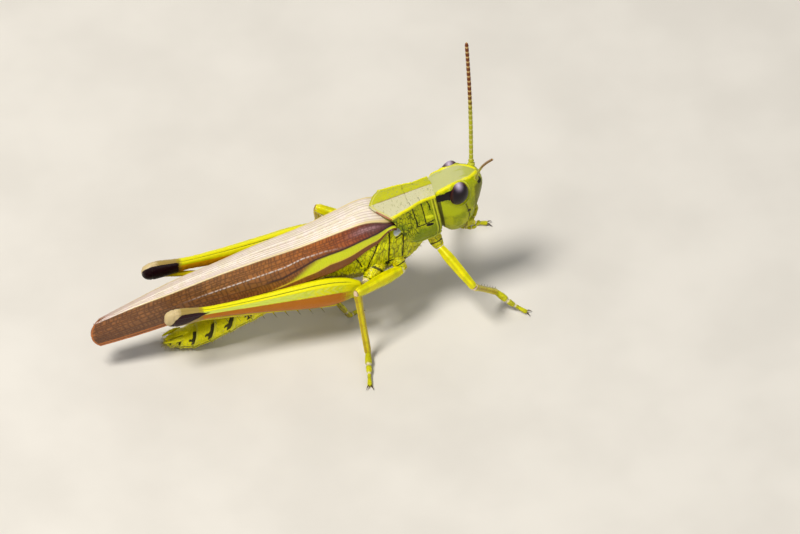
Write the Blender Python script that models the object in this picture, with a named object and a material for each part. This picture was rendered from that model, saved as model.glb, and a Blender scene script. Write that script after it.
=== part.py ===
"""A male large marsh grasshopper at rest, life size, as closed solids in metres, +Z up.

The head points along +X and the insect's left side is +Y. The drawing is made in millimetres with the tip
of the vertex over x = 0 and the floor at z = 0, then moved so that the origin is the middle of its base.
"""

import math

import bmesh
import bpy
import numpy as np
from mathutils import Matrix, Vector

MM = 0.001
JOINT_GAP = 0.12  # mm left between neighbouring solids

# Driving heights and lengths, in mm
VERTEX_TOP = 11.15
HEAD_PITCH = math.radians(8.0)
PRONOTUM_FRONT = -3.38
PRONOTUM_APEX = -7.94
PRONOTUM_CORNER = -6.85
PRONOTUM_LOBE_DROP = 3.55
PRONOTUM_LOBE_BEND = -5.65
TEGMEN_ROOT = -7.0
TEGMEN_TIP = -28.3
TEGMEN_SLOPE = math.tan(math.radians(17.0))
TEGMEN_RIDGE_AT_APEX = 9.85
TEGMEN_THICKNESS = 0.5
ABDOMEN_ROOT = -10.75
ABDOMEN_TIP = -22.95
EYE_CENTRE = (-1.68, 1.12, 10.3)
EYE_RADII = (0.68, 0.5, 0.95)
CROWN_MIDDLE = -1.6
CROWN_RISE = 0.22
ANTENNA_SOCKET = (-0.2, 0.5, 10.3)
ANTENNA_RADIUS = 0.27
HIND_HIP_AHEAD = -9.35
HIND_HIP_OUT = 2.58
HIND_HIP_HEIGHTS = {1: 5.36, -1: 4.78}  # left, right
FRONT_THIGH = 0.38  # half width of a front femur
MIDDLE_THIGH = 0.44
SPINE_COUNT = 9
SPINE_LENGTH = 0.62


def material(name, colour, roughness):
    """A Principled material with one colour."""
    made = bpy.data.materials.new(name)
    made.use_nodes = True
    shader = made.node_tree.nodes["Principled BSDF"]
    shader.inputs["Base Color"].default_value = (*colour, 1.0)
    shader.inputs["Roughness"].default_value = roughness
    shader.inputs["Metallic"].default_value = 0.0
    return made


def through(stations, count):
    """Rows of a table, read at count even steps along a smooth curve through the given rows."""
    rows = np.array(stations, float)
    last = len(rows) - 1
    padded = np.vstack([2 * rows[0] - rows[1], rows, 2 * rows[-1] - rows[-2]])
    found = []
    for t in np.linspace(0, last, count):
        i = min(int(t), last - 1)
        u = t - i
        a, b, c, d = padded[i : i + 4]
        bend = (2 * a - 5 * b + 4 * c - d) * u**2
        twist = (3 * b - a - 3 * c + d) * u**3
        found.append(0.5 * (2 * b + (c - a) * u + bend + twist))
    return np.array(found)


def oval(angle, half_width, half_height, squareness):
    """A point of a rounded oval. A squareness of 1 is an ellipse, and less is boxier."""
    across, up = math.cos(angle), math.sin(angle)
    return (
        half_width * math.copysign(abs(across) ** squareness, across),
        half_height * math.copysign(abs(up) ** squareness, up),
    )


def new_object(name, mesh_builder, look):
    """An object from a bmesh in mm, with its faces turned out, its soles flat on the floor and one look."""
    bmesh.ops.recalc_face_normals(mesh_builder, faces=mesh_builder.faces)
    for vertex in mesh_builder.verts:
        vertex.co.z = max(vertex.co.z, 0.0)
    bmesh.ops.scale(mesh_builder, vec=(MM, MM, MM), verts=mesh_builder.verts)
    mesh = bpy.data.meshes.new(name)
    mesh_builder.to_mesh(mesh)
    mesh_builder.free()
    mesh.materials.append(look)
    mesh.shade_smooth()
    made = bpy.data.objects.new(name, mesh)
    bpy.context.scene.collection.objects.link(made)
    return made


def loft(name, rings, look):
    """A closed skin through rings that have the same number of points, capped at both ends."""
    skin = bmesh.new()
    made = [[skin.verts.new(point) for point in ring] for ring in rings]
    sides = len(made[0])
    for near, far in zip(made, made[1:]):
        for i in range(sides):
            j = (i + 1) % sides
            skin.faces.new((near[i], near[j], far[j], far[i]))
    for ring in (made[0], made[-1]):
        centre = skin.verts.new(sum((vertex.co for vertex in ring), Vector()) / sides)
        for i in range(sides):
            skin.faces.new((ring[i], ring[(i + 1) % sides], centre))
    return new_object(name, skin, look)


def limb_rings(path, widths, heights, sides, up=Vector((0, 0, 1)), squareness=1.0):
    """Oval rings square to a path, with half widths and half heights at each of its points."""
    points = [Vector(point) for point in path]
    rings = []
    for i, point in enumerate(points):
        along = (points[min(i + 1, len(points) - 1)] - points[max(i - 1, 0)]).normalized()
        side = along.cross(up).normalized()
        rise = side.cross(along).normalized()
        ring = []
        for k in range(sides):
            across, lift = oval(2 * math.pi * (k + 0.5) / sides, widths[i], heights[i], squareness)
            ring.append(point + side * across + rise * lift)
        rings.append(ring)
    return rings


def limb(name, stations, count, sides, look, up=Vector((0, 0, 1)), squareness=1.0):
    """A limb piece from stations of (x, y, z, half width, half height)."""
    rows = through(stations, count)
    return loft(name, limb_rings(rows[:, :3], rows[:, 3], rows[:, 4], sides, up, squareness), look)


def mirrored(stations, side):
    """The stations of the left-hand piece, or of the right-hand one where side is -1."""
    return [(row[0], row[1] * side, *row[2:]) for row in stations]


def carve(piece, *neighbours):
    """Cuts each neighbour's shape, and a thin gap round it, out of a piece."""
    for neighbour in neighbours:
        bpy.context.view_layer.update()
        graph = bpy.context.evaluated_depsgraph_get()
        grown = bmesh.new()
        grown.from_object(neighbour, graph)
        bmesh.ops.recalc_face_normals(grown, faces=grown.faces)
        grown.normal_update()
        moves = [vertex.normal * JOINT_GAP * MM for vertex in grown.verts]
        for vertex, move in zip(grown.verts, moves):
            vertex.co += move
        mesh = bpy.data.meshes.new("gap")
        grown.to_mesh(mesh)
        grown.free()
        cutter = bpy.data.objects.new("gap_" + piece.name + "_" + neighbour.name, mesh)
        bpy.context.scene.collection.objects.link(cutter)
        cutter.hide_render = True
        cutter.display_type = "WIRE"
        cut = piece.modifiers.new("cut_" + neighbour.name, "BOOLEAN")
        cut.operation = "DIFFERENCE"
        cut.solver = "EXACT"
        cut.object = cutter


def vertex_height(x):
    """The height of the head's and pronotum's top line."""
    return VERTEX_TOP + x * math.tan(HEAD_PITCH)


def head(look):
    """The head capsule, lofted from the vertex down to the mouth."""
    stations = [  # drop from the top line at mid-head, back x, front x, half width
        (-0.04, -2.95, -0.45, 0.6),
        (0.06, -3.16, -0.12, 0.98),
        (0.34, -3.26, 0.2, 1.18),
        (1.0, -3.24, 0.3, 1.27),
        (1.9, -3.12, 0.18, 1.32),
        (2.9, -2.9, -0.1, 1.34),
        (3.7, -2.62, -0.42, 1.2),
        (4.3, -2.35, -0.75, 0.9),
        (4.66, -2.05, -1.08, 0.5),
    ]
    rings = []
    for drop, back, front, half_width in through(stations, 14):
        ring = []
        for k in range(20):
            angle = 2 * math.pi * k / 20
            squareness = 0.9 if math.sin(angle) > 0 else 0.6
            across, along = oval(angle, half_width, (front - back) / 2, squareness)
            x = (front + back) / 2 + along
            crown = CROWN_RISE * math.exp(-(((x - CROWN_MIDDLE) / 1.1) ** 2)) * max(0.0, 1.0 - max(drop, 0.0))
            ring.append(Vector((x, across, vertex_height(x) - drop + crown)))
        rings.append(ring)
    return loft("head", rings, look)


def eye(side, look):
    """One compound eye, an upright egg."""
    name = "eye_left" if side > 0 else "eye_right"
    skin = bmesh.new()
    bmesh.ops.create_uvsphere(skin, u_segments=14, v_segments=9, radius=1.0)
    bmesh.ops.scale(skin, vec=EYE_RADII, verts=skin.verts)
    x, y, z = EYE_CENTRE
    bmesh.ops.translate(skin, vec=(x, side * y, z), verts=skin.verts)
    return new_object(name, skin, look)


def mouthparts(look):
    """The upper lip with both pairs of palps, as one piece hung under the face."""
    lip = limb_rings(
        [(-0.25, 0, 7.15), (-0.48, 0, 6.7), (-0.82, 0, 6.25), (-1.25, 0, 6.02), (-1.7, 0, 6.0)],
        [0.24, 0.26, 0.27, 0.27, 0.2],
        [0.5, 0.6, 0.62, 0.56, 0.3],
        14,
        up=Vector((0, 1, 0)),
    )
    made = loft("mouthparts", lip, look)
    for root, elbow, tip in (
            ((-1.2, 0.36, 6.05), (-0.9, 0.86, 5.95), (-0.2, 0.78, 6.3)),
            ((-1.6, 0.2, 6.0), (-1.2, 0.34, 5.68), (-0.7, 0.42, 5.5)),
    ):
        for side in (1, -1):
            stations = [(*root, 0.27, 0.27), (*elbow, 0.25, 0.25), (*tip, 0.25, 0.25)]
            palp = limb("palp", mirrored(stations, side), 4, 7, look)
            join(made, palp)
    return made


def join(base, extra):
    """Adds a hidden helper to a base solid with a Boolean union."""
    extra.name = f"helper_{base.name}_{len(base.modifiers)}"
    extra.hide_render = True
    extra.display_type = "WIRE"
    union = base.modifiers.new("add_" + extra.name, "BOOLEAN")
    union.operation = "UNION"
    union.solver = "EXACT"
    union.object = extra


def antenna(side, tip, look):
    """A feeler: a stout scape and a long ringed whip that bows a little on its way to the tip."""
    name = "antenna_left" if side > 0 else "antenna_right"
    root = Vector((ANTENNA_SOCKET[0], side * ANTENNA_SOCKET[1], ANTENNA_SOCKET[2]))
    tip = Vector(tip)
    bow = Vector((0.1, 0, 0.0)) if side > 0 else Vector((-0.2, 0, 0.3))
    count = 14
    points, radii = [], []
    for i in range(count):
        t = i / (count - 1)
        points.append(root.lerp(tip, t) + bow * math.sin(math.pi * t))
        radii.append(ANTENNA_RADIUS * (1.25 if i < 2 else 1.0) * (1.0 - 0.1 * t))
    radii[-1] *= 0.7
    return loft(name, limb_rings(points, radii, radii, 8, up=Vector((1, 0, 0))), look)


def pronotum_section(x):
    """The saddle's half section at x: points from the middle of the back to the lobe's lower margin."""
    front_share = min(1.0, max(0.0, (x - PRONOTUM_APEX) / (PRONOTUM_FRONT - PRONOTUM_APEX)))
    hind_share = 1.0 - front_share
    top = vertex_height(x) - 0.02
    waist = math.exp(-(((x + 4.5) / 0.7) ** 2))
    carina_y = 0.98 + 0.72 * hind_share**1.3 - 0.12 * waist
    carina_z = top - 0.28 - 0.55 * hind_share**1.5
    if x < PRONOTUM_CORNER:
        narrowing = (x - PRONOTUM_APEX) / (PRONOTUM_CORNER - PRONOTUM_APEX)
        carina_z = top - (top - carina_z) * narrowing
        carina_y *= max(narrowing, 0.08)
    lower = top - PRONOTUM_LOBE_DROP
    return top, carina_y, carina_z, lower


def pronotum_lobe_floor(x, top, lower):
    """The lobe's lower edge: level in front, then rising along the oblique hind margin to the shoulder."""
    bend = PRONOTUM_LOBE_BEND
    if x >= bend:
        return lower + 0.22 * max(0.0, (x + 4.2) / 0.75) ** 2
    rise = min(1.0, (bend - x) / (bend - PRONOTUM_CORNER))
    shoulder = top - 1.0
    return lower + (shoulder - lower) * rise


def pronotum(look):
    """The saddle-shaped plate behind the head, with a ridged back, two side lobes and an angled hind edge."""
    rings = []
    ahead = np.linspace(PRONOTUM_FRONT, PRONOTUM_CORNER, 9)
    behind = np.linspace(PRONOTUM_CORNER, PRONOTUM_APEX + 0.04, 6)[1:]
    for x in (*ahead, *behind):
        top, carina_y, carina_z, lower = pronotum_section(x)
        floor = pronotum_lobe_floor(x, top, lower)
        floor = min(floor, carina_z - 0.34)
        depth = carina_z - floor
        bulge = 1.62 + 0.22 * math.sin(math.pi * min(1.0, (PRONOTUM_FRONT - x) / 3.6))
        outer = max(carina_y, carina_y + (bulge - carina_y) * min(1.0, depth / 2.0))
        half = [
            (0.0, top + 0.05),
            (carina_y * 0.45, top - 0.05 - (top - carina_z) * 0.35),
            (carina_y * 0.94, carina_z + 0.05),
            (carina_y + 0.03, carina_z),
            (carina_y + (outer - carina_y) * 0.45, carina_z - depth * 0.3),
            (outer, carina_z - depth * 0.66),
            (outer * 0.97, carina_z - depth * 0.93),
            (outer * 0.9, floor),
        ]
        lean = math.tan(HEAD_PITCH)
        ring = [Vector((x + (top - z) * lean, y, z)) for y, z in half]
        ring += [Vector((x + (top - z) * lean, -y, z)) for y, z in reversed(half[1:])]
        rings.append(ring)
    return loft("pronotum", rings, look)


def thorax(look):
    """The neck, the breast plates and the wing-bearing box, lofted back from the head."""
    stations = [  # x, top, bottom, half width
        (-2.75, 9.7, 7.3, 0.6),
        (-3.5, 9.8, 6.75, 0.8),
        (-4.3, 9.75, 5.75, 1.12),
        (-5.3, 9.3, 4.86, 1.4),
        (-6.5, 8.9, 4.5, 1.68),
        (-7.5, 8.75, 4.4, 1.86),
        (-8.5, 8.6, 4.38, 1.9),
        (-9.5, 8.3, 4.28, 1.82),
        (-10.6, 7.95, 4.25, 1.62),
    ]
    rings = []
    for x, top, bottom, half_width in through(stations, 12):
        ring = []
        for k in range(16):
            angle = 2 * math.pi * k / 16
            squareness = 0.82 if math.sin(angle) > 0 else 0.6
            across, up = oval(angle, half_width, (top - bottom) / 2, squareness)
            share = max(0.0, up / ((top - bottom) / 2))
            ring.append(Vector((x, across * (1 - 0.34 * share**2), (top + bottom) / 2 + up)))
        rings.append(ring)
    return loft("thorax", rings, look)


def abdomen(look):
    """The hind body, drooping to rest its last plates on the floor, with a shallow step at each ring."""
    stations = [  # x, middle height, half height, half width
        (ABDOMEN_ROOT, 6.0, 1.7, 1.48),
        (-12.5, 4.95, 1.56, 1.44),
        (-14.3, 3.95, 1.42, 1.36),
        (-16.0, 3.05, 1.33, 1.28),
        (-17.7, 2.25, 1.22, 1.2),
        (-19.4, 1.42, 1.12, 1.08),
        (-20.9, 0.92, 0.96, 0.95),
        (-22.0, 0.72, 0.74, 0.72),
        (-22.7, 0.66, 0.42, 0.42),
        (ABDOMEN_TIP, 0.62, 0.12, 0.14),
    ]
    rings = []
    for number, (x, middle, half_height, half_width) in enumerate(through(stations, 22)):
        step = 1.0 - (0.03 if number % 3 == 0 else 0.0)
        ring = []
        for k in range(14):
            across, up = oval(2 * math.pi * k / 14, half_width * step, half_height * step, 0.95)
            ring.append(Vector((x + up * 0.35, across, middle + up)))
        rings.append(ring)
    return loft("abdomen", rings, look)


def tegmen_section(share):
    """Half section of a folded fore wing at a share of its length: inner edge, fold and lower margin."""
    x = TEGMEN_ROOT + (TEGMEN_TIP - TEGMEN_ROOT) * share
    stations = [  # fold out, fold drop, margin out, margin drop, lift of the ridge, at even shares
        (1.32, 0.2, 1.62, 1.6, 0.0),
        (1.03, 0.19, 1.98, 2.7, 0.0),
        (0.86, 0.19, 1.98, 2.68, 0.06),
        (0.74, 0.2, 1.82, 2.9, 0.38),
        (0.58, 0.17, 1.45, 2.85, 0.54),
        (0.52, 0.14, 1.14, 2.55, 0.64),
        (0.42, 0.1, 0.88, 2.3, 0.62),
        (0.22, 0.1, 0.6, 1.8, 0.45),
    ]
    fold_out, fold_drop, margin_out, margin_drop, lift = through(stations, 201)[round(share * 200)]
    tuck = 0.75 * max(0.0, (x + 9.2) / 2.2) ** 2
    ridge = TEGMEN_RIDGE_AT_APEX + lift - tuck + (x - PRONOTUM_APEX) * TEGMEN_SLOPE
    return x, ridge, fold_out, fold_drop, margin_out, margin_drop


def tegmen(side, look):
    """One leathery fore wing: a flat strip over the back, a fold and a deep side field."""
    name = "tegmen_left" if side > 0 else "tegmen_right"
    inner = 0.07
    rings = []
    for share in (*np.linspace(0.0, 0.92, 15), 0.95, 0.97, 0.985, 0.995, 1.0):
        x, ridge, fold_out, fold_drop, margin_out, margin_drop = tegmen_section(share)
        tip_share = max(0.0, (share - 0.94) / 0.06)
        squeeze = math.sqrt(max(0.0, 1 - tip_share**2)) * 0.84 + 0.16
        middle_drop = (margin_drop + fold_drop) * 0.56
        wall = TEGMEN_THICKNESS
        outline = [
            (inner, 0.0),
            (inner + (fold_out - inner) * 0.6, fold_drop * 0.4),
            (fold_out, fold_drop),
            (fold_out + (margin_out - fold_out) * 0.3, fold_drop + (margin_drop - fold_drop) * 0.25),
            (fold_out + (margin_out - fold_out) * 0.62, fold_drop + (margin_drop - fold_drop) * 0.58),
            (margin_out, margin_drop),
        ]
        under = []
        for k, (out, drop) in enumerate(outline):
            turn = math.radians(10 + 68 * min(1.0, k / 3.0))
            under.append((max(out - wall * math.sin(turn), inner), drop + wall * math.cos(turn)))
        ring = []
        for out, drop in outline + under[::-1]:
            height = ridge - (middle_drop + (drop - middle_drop) * squeeze)
            ring.append(Vector((x, side * out, height)))
        rings.append(ring)
    return loft(name, rings, look)


def fore_leg(side, knee, ankle, toe, look):
    """The four pieces of a front leg."""
    tag = "left" if side > 0 else "right"
    root = Vector((-3.55, 0.85 * side, 6.75))
    hip = Vector((-3.25, 1.5 * side, 5.95))
    return walking_leg(f"leg_front_{tag}", root, hip, knee, ankle, toe, FRONT_THIGH, look)


def middle_leg(side, knee, ankle, toe, look):
    """The four pieces of a middle leg."""
    tag = "left" if side > 0 else "right"
    root = Vector((-6.45, 1.2 * side, 5.7))
    hip = Vector((-6.05, 1.95 * side, 4.9))
    return walking_leg(f"leg_middle_{tag}", root, hip, knee, ankle, toe, MIDDLE_THIGH, look)


def walking_leg(name, root, hip, knee, ankle, toe, thickness, look):
    """Coxa, femur, tibia and tarsus of a walking leg, from the body to the tip of its claws."""
    knee, ankle, toe = Vector(knee), Vector(ankle), Vector(toe)
    coxa_path = [root, root.lerp(hip, 0.6), hip + (hip - root) * 0.12]
    coxa = limb(
        f"{name}_coxa",
        [(*coxa_path[0], 0.62, 0.62), (*coxa_path[1], 0.52, 0.55), (*coxa_path[2], 0.3, 0.3)],
        5,
        10,
        look,
        up=Vector((1, 0, 0)),
    )
    femur = limb(
        f"{name}_femur",
        [
            (*hip.lerp(knee, 0.02), thickness * 0.85, thickness * 0.85),
            (*hip.lerp(knee, 0.3), thickness, thickness * 1.12),
            (*hip.lerp(knee, 0.7), thickness * 0.92, thickness),
            (*hip.lerp(knee, 0.96), thickness * 0.85, thickness * 0.95),
            (*knee, thickness * 0.5, thickness * 0.55),
        ],
        7,
        10,
        look,
    )
    tibia = limb(
        f"{name}_tibia",
        [
            (*knee.lerp(ankle, -0.03), 0.26, 0.26),
            (*knee.lerp(ankle, 0.12), 0.27, 0.27),
            (*knee.lerp(ankle, 0.5), 0.25, 0.25),
            (*knee.lerp(ankle, 0.97), 0.26, 0.26),
        ],
        6,
        8,
        look,
        up=Vector((1, 0, 0)),
    )
    carve(femur, coxa)
    carve(tibia, femur)
    tarsus = tarsus_of(name, [ankle, ankle.lerp(toe, 0.5), toe], look)
    carve(tarsus, tibia)
    return coxa, femur, tibia, tarsus


def tarsus_of(name, path, look):
    """A foot: two padded lengths, a slim last length and a claw pad, with its sole flat on the floor."""
    first, bend, toe = (Vector(point) for point in path)
    last = bend.lerp(toe, 0.86)
    stations = [
        (*first, 0.27, 0.27),
        (*first.lerp(bend, 0.55), 0.29, 0.29),
        (*bend, 0.25, 0.25),
        (*bend.lerp(last, 0.6), 0.27, 0.27),
        (*last, 0.3, 0.28),
        (*toe, 0.27, 0.22),
    ]
    return limb(f"{name}_tarsus", stations, 8, 8, look)


def hind_leg(side, knee, ankle, foot, look):
    """The four pieces of a jumping leg: coxa, club-shaped femur, spined tibia folded beneath it, tarsus."""
    name = "leg_hind_left" if side > 0 else "leg_hind_right"
    hip = Vector((HIND_HIP_AHEAD, HIND_HIP_OUT * side, HIND_HIP_HEIGHTS[side]))
    knee = Vector(knee)
    coxa = limb(
        f"{name}_coxa",
        [
            (-7.7, 1.0 * side, 5.6, 0.75, 0.75),
            (-8.1, 1.75 * side, 5.25, 0.62, 0.65),
            (-8.75, 2.4 * side, 4.92, 0.42, 0.45),
        ],
        5,
        10,
        look,
        up=Vector((1, 0, 0)),
    )
    shape = [  # share of the length, half width, half height
        (0.0, 0.36, 0.46),
        (0.05, 0.46, 0.84),
        (0.14, 0.58, 1.12),
        (0.24, 0.6, 1.15),
        (0.36, 0.54, 0.97),
        (0.5, 0.45, 0.74),
        (0.64, 0.4, 0.58),
        (0.8, 0.37, 0.48),
        (0.9, 0.38, 0.52),
        (0.955, 0.42, 0.7),
        (0.985, 0.4, 0.66),
        (1.0, 0.28, 0.42),
    ]
    femur = limb(
        f"{name}_femur",
        [(*hip.lerp(knee, share), width, height) for share, width, height in shape],
        17,
        12,
        look,
        squareness=0.85,
    )
    ankle = Vector(ankle)
    pivot = knee + Vector((0.45, 0, -0.3))
    tibia = limb(
        f"{name}_tibia",
        [
            (*pivot, 0.27, 0.3),
            (*pivot.lerp(ankle, 0.08), 0.26, 0.28),
            (*pivot.lerp(ankle, 0.5), 0.25, 0.26),
            (*pivot.lerp(ankle, 0.97), 0.28, 0.28),
        ],
        8,
        8,
        look,
    )
    for number in range(SPINE_COUNT):
        share = 0.3 + 0.64 * number / (SPINE_COUNT - 1)
        root = pivot.lerp(ankle, share)
        out = Vector((0.5, 0.55 * side, -0.75)).normalized() * (0.22 + SPINE_LENGTH)
        stations = [(*root, 0.13, 0.13), (*(root + out), 0.05, 0.05)]
        join(tibia, limb("spine", stations, 2, 4, look, up=Vector((0, 1, 0.2))))
    carve(femur, coxa)
    carve(tibia, femur)
    half_sizes = ((0.28, 0.28), (0.29, 0.29), (0.27, 0.27), (0.27, 0.22))
    stations = [(*point, *half_size) for point, half_size in zip(foot, half_sizes)]
    tarsus = limb(f"{name}_tarsus", stations, 8, 8, look, up=Vector((0.2, side * -1.0, 0.6)))
    carve(tarsus, tibia)
    return coxa, femur, tibia, tarsus


def stand_on_origin(pieces):
    """Moves every mesh so that the origin is the middle of the base of the whole insect."""
    places = np.array([vertex.co for piece in pieces for vertex in piece.data.vertices])
    low, high = places.min(axis=0), places.max(axis=0)
    move = Vector((-(low[0] + high[0]) / 2, -(low[1] + high[1]) / 2, -low[2]))
    for made in bpy.data.objects:
        if made.type == "MESH":
            made.data.transform(Matrix.Translation(move))


def main():
    """Builds the whole insect."""
    for old in list(bpy.data.objects):
        bpy.data.objects.remove(old)
    green = material("cuticle_green", (0.38, 0.42, 0.03), 0.4)
    yellow = material("leg_yellow", (0.6, 0.55, 0.02), 0.4)
    brown = material("wing_brown", (0.25, 0.1, 0.04), 0.45)
    dark = material("eye_dark", (0.03, 0.01, 0.015), 0.1)
    feeler = material("feeler_brown", (0.3, 0.12, 0.05), 0.5)

    capsule = head(green)
    eyes = [eye(side, dark) for side in (1, -1)]
    mouth = mouthparts(yellow)
    feelers = [
        antenna(1, (0.27, 3.5, 20.15), feeler),
        antenna(-1, (-0.95, -6.2, 18.2), feeler),
    ]
    saddle = pronotum(green)
    trunk = thorax(green)
    hind_body = abdomen(green)
    wings = [tegmen(side, brown) for side in (1, -1)]
    legs = [
        fore_leg(1, (-1.6, 4.7, 4.25), (0.3, 5.75, 0.5), (2.5, 5.2, 0.15), yellow),
        fore_leg(-1, (-1.6, -4.45, 4.22), (0.56, -2.77, 1.5), (2.5, -4.1, 0.12), yellow),
        middle_leg(1, (-10.3, 4.6, 5.9), (-9.8, 5.7, 0.5), (-10.6, 8.5, 0.15), yellow),
        middle_leg(-1, (-9.9, -3.8, 5.4), (-9.5, -5.0, 0.5), (-10.25, -7.9, 0.15), yellow),
        hind_leg(
            1,
            (-23.6, 2.4, 5.5),
            (-10.75, 1.7, 2.6),
            [(-10.7, 1.65, 2.5), (-10.1, 1.35, 1.2), (-9.6, 1.1, 0.3), (-8.5, 0.9, 0.15)],
            yellow,
        ),
        hind_leg(
            -1,
            (-23.3, -2.2, 5.2),
            (-10.75, -1.6, 2.6),
            [(-10.7, -1.5, 2.5), (-10.05, -1.15, 1.2), (-9.6, -0.85, 0.3), (-8.7, -0.45, 0.15)],
            yellow,
        ),
    ]

    carve(capsule, *eyes)
    carve(mouth, capsule)
    for whip in feelers:
        carve(whip, capsule)
    carve(trunk, capsule)
    carve(saddle, trunk, capsule)
    for wing, jumping_leg in zip(wings, legs[4:]):
        carve(wing, saddle, jumping_leg[1])
    carve(trunk, *wings)
    carve(hind_body, trunk)
    for leg in legs:
        carve(leg[0], trunk, saddle)
    stand_on_origin([made for made in bpy.data.objects if made.type == "MESH" and not made.hide_render])


main()
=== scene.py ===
"""A male large marsh grasshopper at rest, life size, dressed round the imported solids.

Lengths are in millimetres in the insect's own drawing: the tip of the vertex stands over x = 0, the head
points along +X, the insect's left is +Y and the floor is z = 0. Drawing.to_frame moves each finished skin to
the frame. The finishes' colours are shade numbers from 0 to 255, as a paint chart gives them.
"""

import logging
import math
from dataclasses import dataclass, field
from enum import Enum

import bpy
import numpy as np
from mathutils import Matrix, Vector

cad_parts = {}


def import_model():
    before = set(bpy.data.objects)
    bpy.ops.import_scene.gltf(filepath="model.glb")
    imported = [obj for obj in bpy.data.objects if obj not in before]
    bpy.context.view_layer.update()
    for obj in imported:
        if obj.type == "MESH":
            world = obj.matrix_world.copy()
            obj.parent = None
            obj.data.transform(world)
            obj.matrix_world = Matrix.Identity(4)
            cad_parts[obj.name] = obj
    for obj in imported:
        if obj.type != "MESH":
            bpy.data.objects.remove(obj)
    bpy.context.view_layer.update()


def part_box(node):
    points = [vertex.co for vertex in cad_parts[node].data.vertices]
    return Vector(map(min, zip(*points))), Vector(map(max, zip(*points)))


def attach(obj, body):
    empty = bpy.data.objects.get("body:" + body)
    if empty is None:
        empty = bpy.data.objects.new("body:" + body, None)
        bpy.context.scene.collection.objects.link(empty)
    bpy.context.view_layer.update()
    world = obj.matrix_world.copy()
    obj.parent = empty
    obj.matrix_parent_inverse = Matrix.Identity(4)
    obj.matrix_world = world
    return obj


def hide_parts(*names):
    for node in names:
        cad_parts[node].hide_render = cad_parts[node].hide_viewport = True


log = logging.getLogger("grasshopper")

Array = np.ndarray
Masks = dict[str, Array]
Shade = tuple[int, int, int]
Point = tuple[float, float, float]
Path = tuple[Point, ...]
Station = tuple[float, float, float, float, float]  # place, half width, half height
Socket = bpy.types.NodeSocket
Paint = Shade | Socket
Material = bpy.types.Material
Piece = bpy.types.Object

MM = 0.001
BODY = "root"
SCREEN_GAMMA = 2.2
FAR = 9.0  # past the reach of every mark
TINY = 1e-9
TABLE_STEPS = 401
TRACE_STEPS = 24  # between two points of a traced curve
SCATTER_PRIMES = (73856093, 19349663, 83492791, 2654435761)
SCATTER_TURN = 1274126177
WORD, HALF_WORD = 0xFFFFFFFF, 0xFFFF


class Slot(Enum):
    """The record's material slots."""

    GREEN = "cuticle_green"
    YELLOW = "leg_yellow"
    WING = "wing_brown"
    EYE = "eye_dark"
    FEELER = "feeler_brown"


class Side(Enum):
    """The insect's left, along +Y, and its right."""

    LEFT = 1
    RIGHT = -1

    @property
    def word(self) -> str:
        """The side's name in a node's name."""
        return self.name.lower()

    def turned(self, row: tuple[float, ...]) -> tuple[float, ...]:
        """A row given for the left side, with its second number turned over for the right."""
        return (row[0], row[1] * self.value, *row[2:])


# ---------------------------------------------------------------- numbers


def linear(shade: Shade) -> tuple[float, ...]:
    """A shade as the shader's linear red, green, blue and cover."""
    return (*((part / 255) ** SCREEN_GAMMA for part in shade), 1.0)


def smooth_table(rows: tuple[tuple[float, ...], ...], count: int = TABLE_STEPS) -> Array:
    """Reads a table along a smooth curve through its rows.

    Args:
        rows: the table, one row for each station.
        count: how many even steps to read.

    Returns:
        An array of count rows.
    """
    table = np.array(rows, float)
    last = len(table) - 1
    ends = np.vstack([2 * table[0] - table[1], table, 2 * table[-1] - table[-2]])
    t = np.linspace(0, last, count)
    i = np.minimum(t.astype(int), last - 1)
    u = (t - i)[:, None]
    a, b, c, d = (ends[i + k] for k in range(4))
    bend = (2 * a - 5 * b + 4 * c - d) * u**2
    twist = (3 * b - a - 3 * c + d) * u**3
    return 0.5 * (2 * b + (c - a) * u + bend + twist)


@dataclass(frozen=True)
class Table:
    """Stations of a shape, read smoothly between them."""

    rows: tuple[tuple[float, ...], ...]

    def at(self, share: Array) -> list[Array]:
        """Reads every column at shares from 0 to 1 of the way through the rows.

        Args:
            share: where to read.

        Returns:
            One array for each column.
        """
        dense = smooth_table(self.rows)
        steps = np.linspace(0, 1, len(dense))
        return [np.interp(share, steps, column) for column in dense.T]

    def over(self, key: Array) -> list[Array]:
        """Reads the other columns where the first one has the value key.

        Args:
            key: values of the first column, which rises or falls all the way.

        Returns:
            One array for each column after the first.
        """
        dense = smooth_table(self.rows)
        if dense[0, 0] > dense[-1, 0]:
            dense = dense[::-1]
        return [np.interp(key, dense[:, 0], column) for column in dense.T[1:]]


def step(low: float, high: float, value: Array) -> Array:
    """A soft step from 0 at low to 1 at high."""
    t = np.clip((value - low) / (high - low), 0, 1)
    return t * t * (3 - 2 * t)


def hump(distance: Array, width: float) -> Array:
    """A round hump, 1 at no distance and small past width."""
    return np.exp(-((distance / width) ** 2))


def mixed_bits(x: Array, y: Array, z: Array, seed: int) -> Array:
    """The same scattered number from 0 to 1 for the same whole numbers, every time."""
    a, b, c, d = SCATTER_PRIMES
    h = ((x * a) ^ (y * b) ^ (z * c) ^ (seed * d)) & WORD
    h = ((h ^ (h >> 13)) * SCATTER_TURN) & WORD
    return ((h ^ (h >> 16)) & HALF_WORD) / HALF_WORD


def grain(at: Array, size: float, seed: int = 0) -> Array:
    """Smooth scattered values from -1 to 1.

    Args:
        at: places, with x, y and z in the last axis.
        size: the distance over which the values change.
        seed: another number gives other values.

    Returns:
        One value for each place.
    """
    cell = np.floor(at / size).astype(np.int64)
    part = at / size - cell
    part = part * part * (3 - 2 * part)
    total = np.zeros(at.shape[:-1])
    for corner in np.ndindex(2, 2, 2):
        weight = np.ones(at.shape[:-1])
        for axis in range(3):
            weight = weight * (part[..., axis] if corner[axis] else 1 - part[..., axis])
        x, y, z = (cell[..., axis] + corner[axis] for axis in range(3))
        total += weight * mixed_bits(x, y, z, seed)
    return total * 2 - 1


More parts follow.
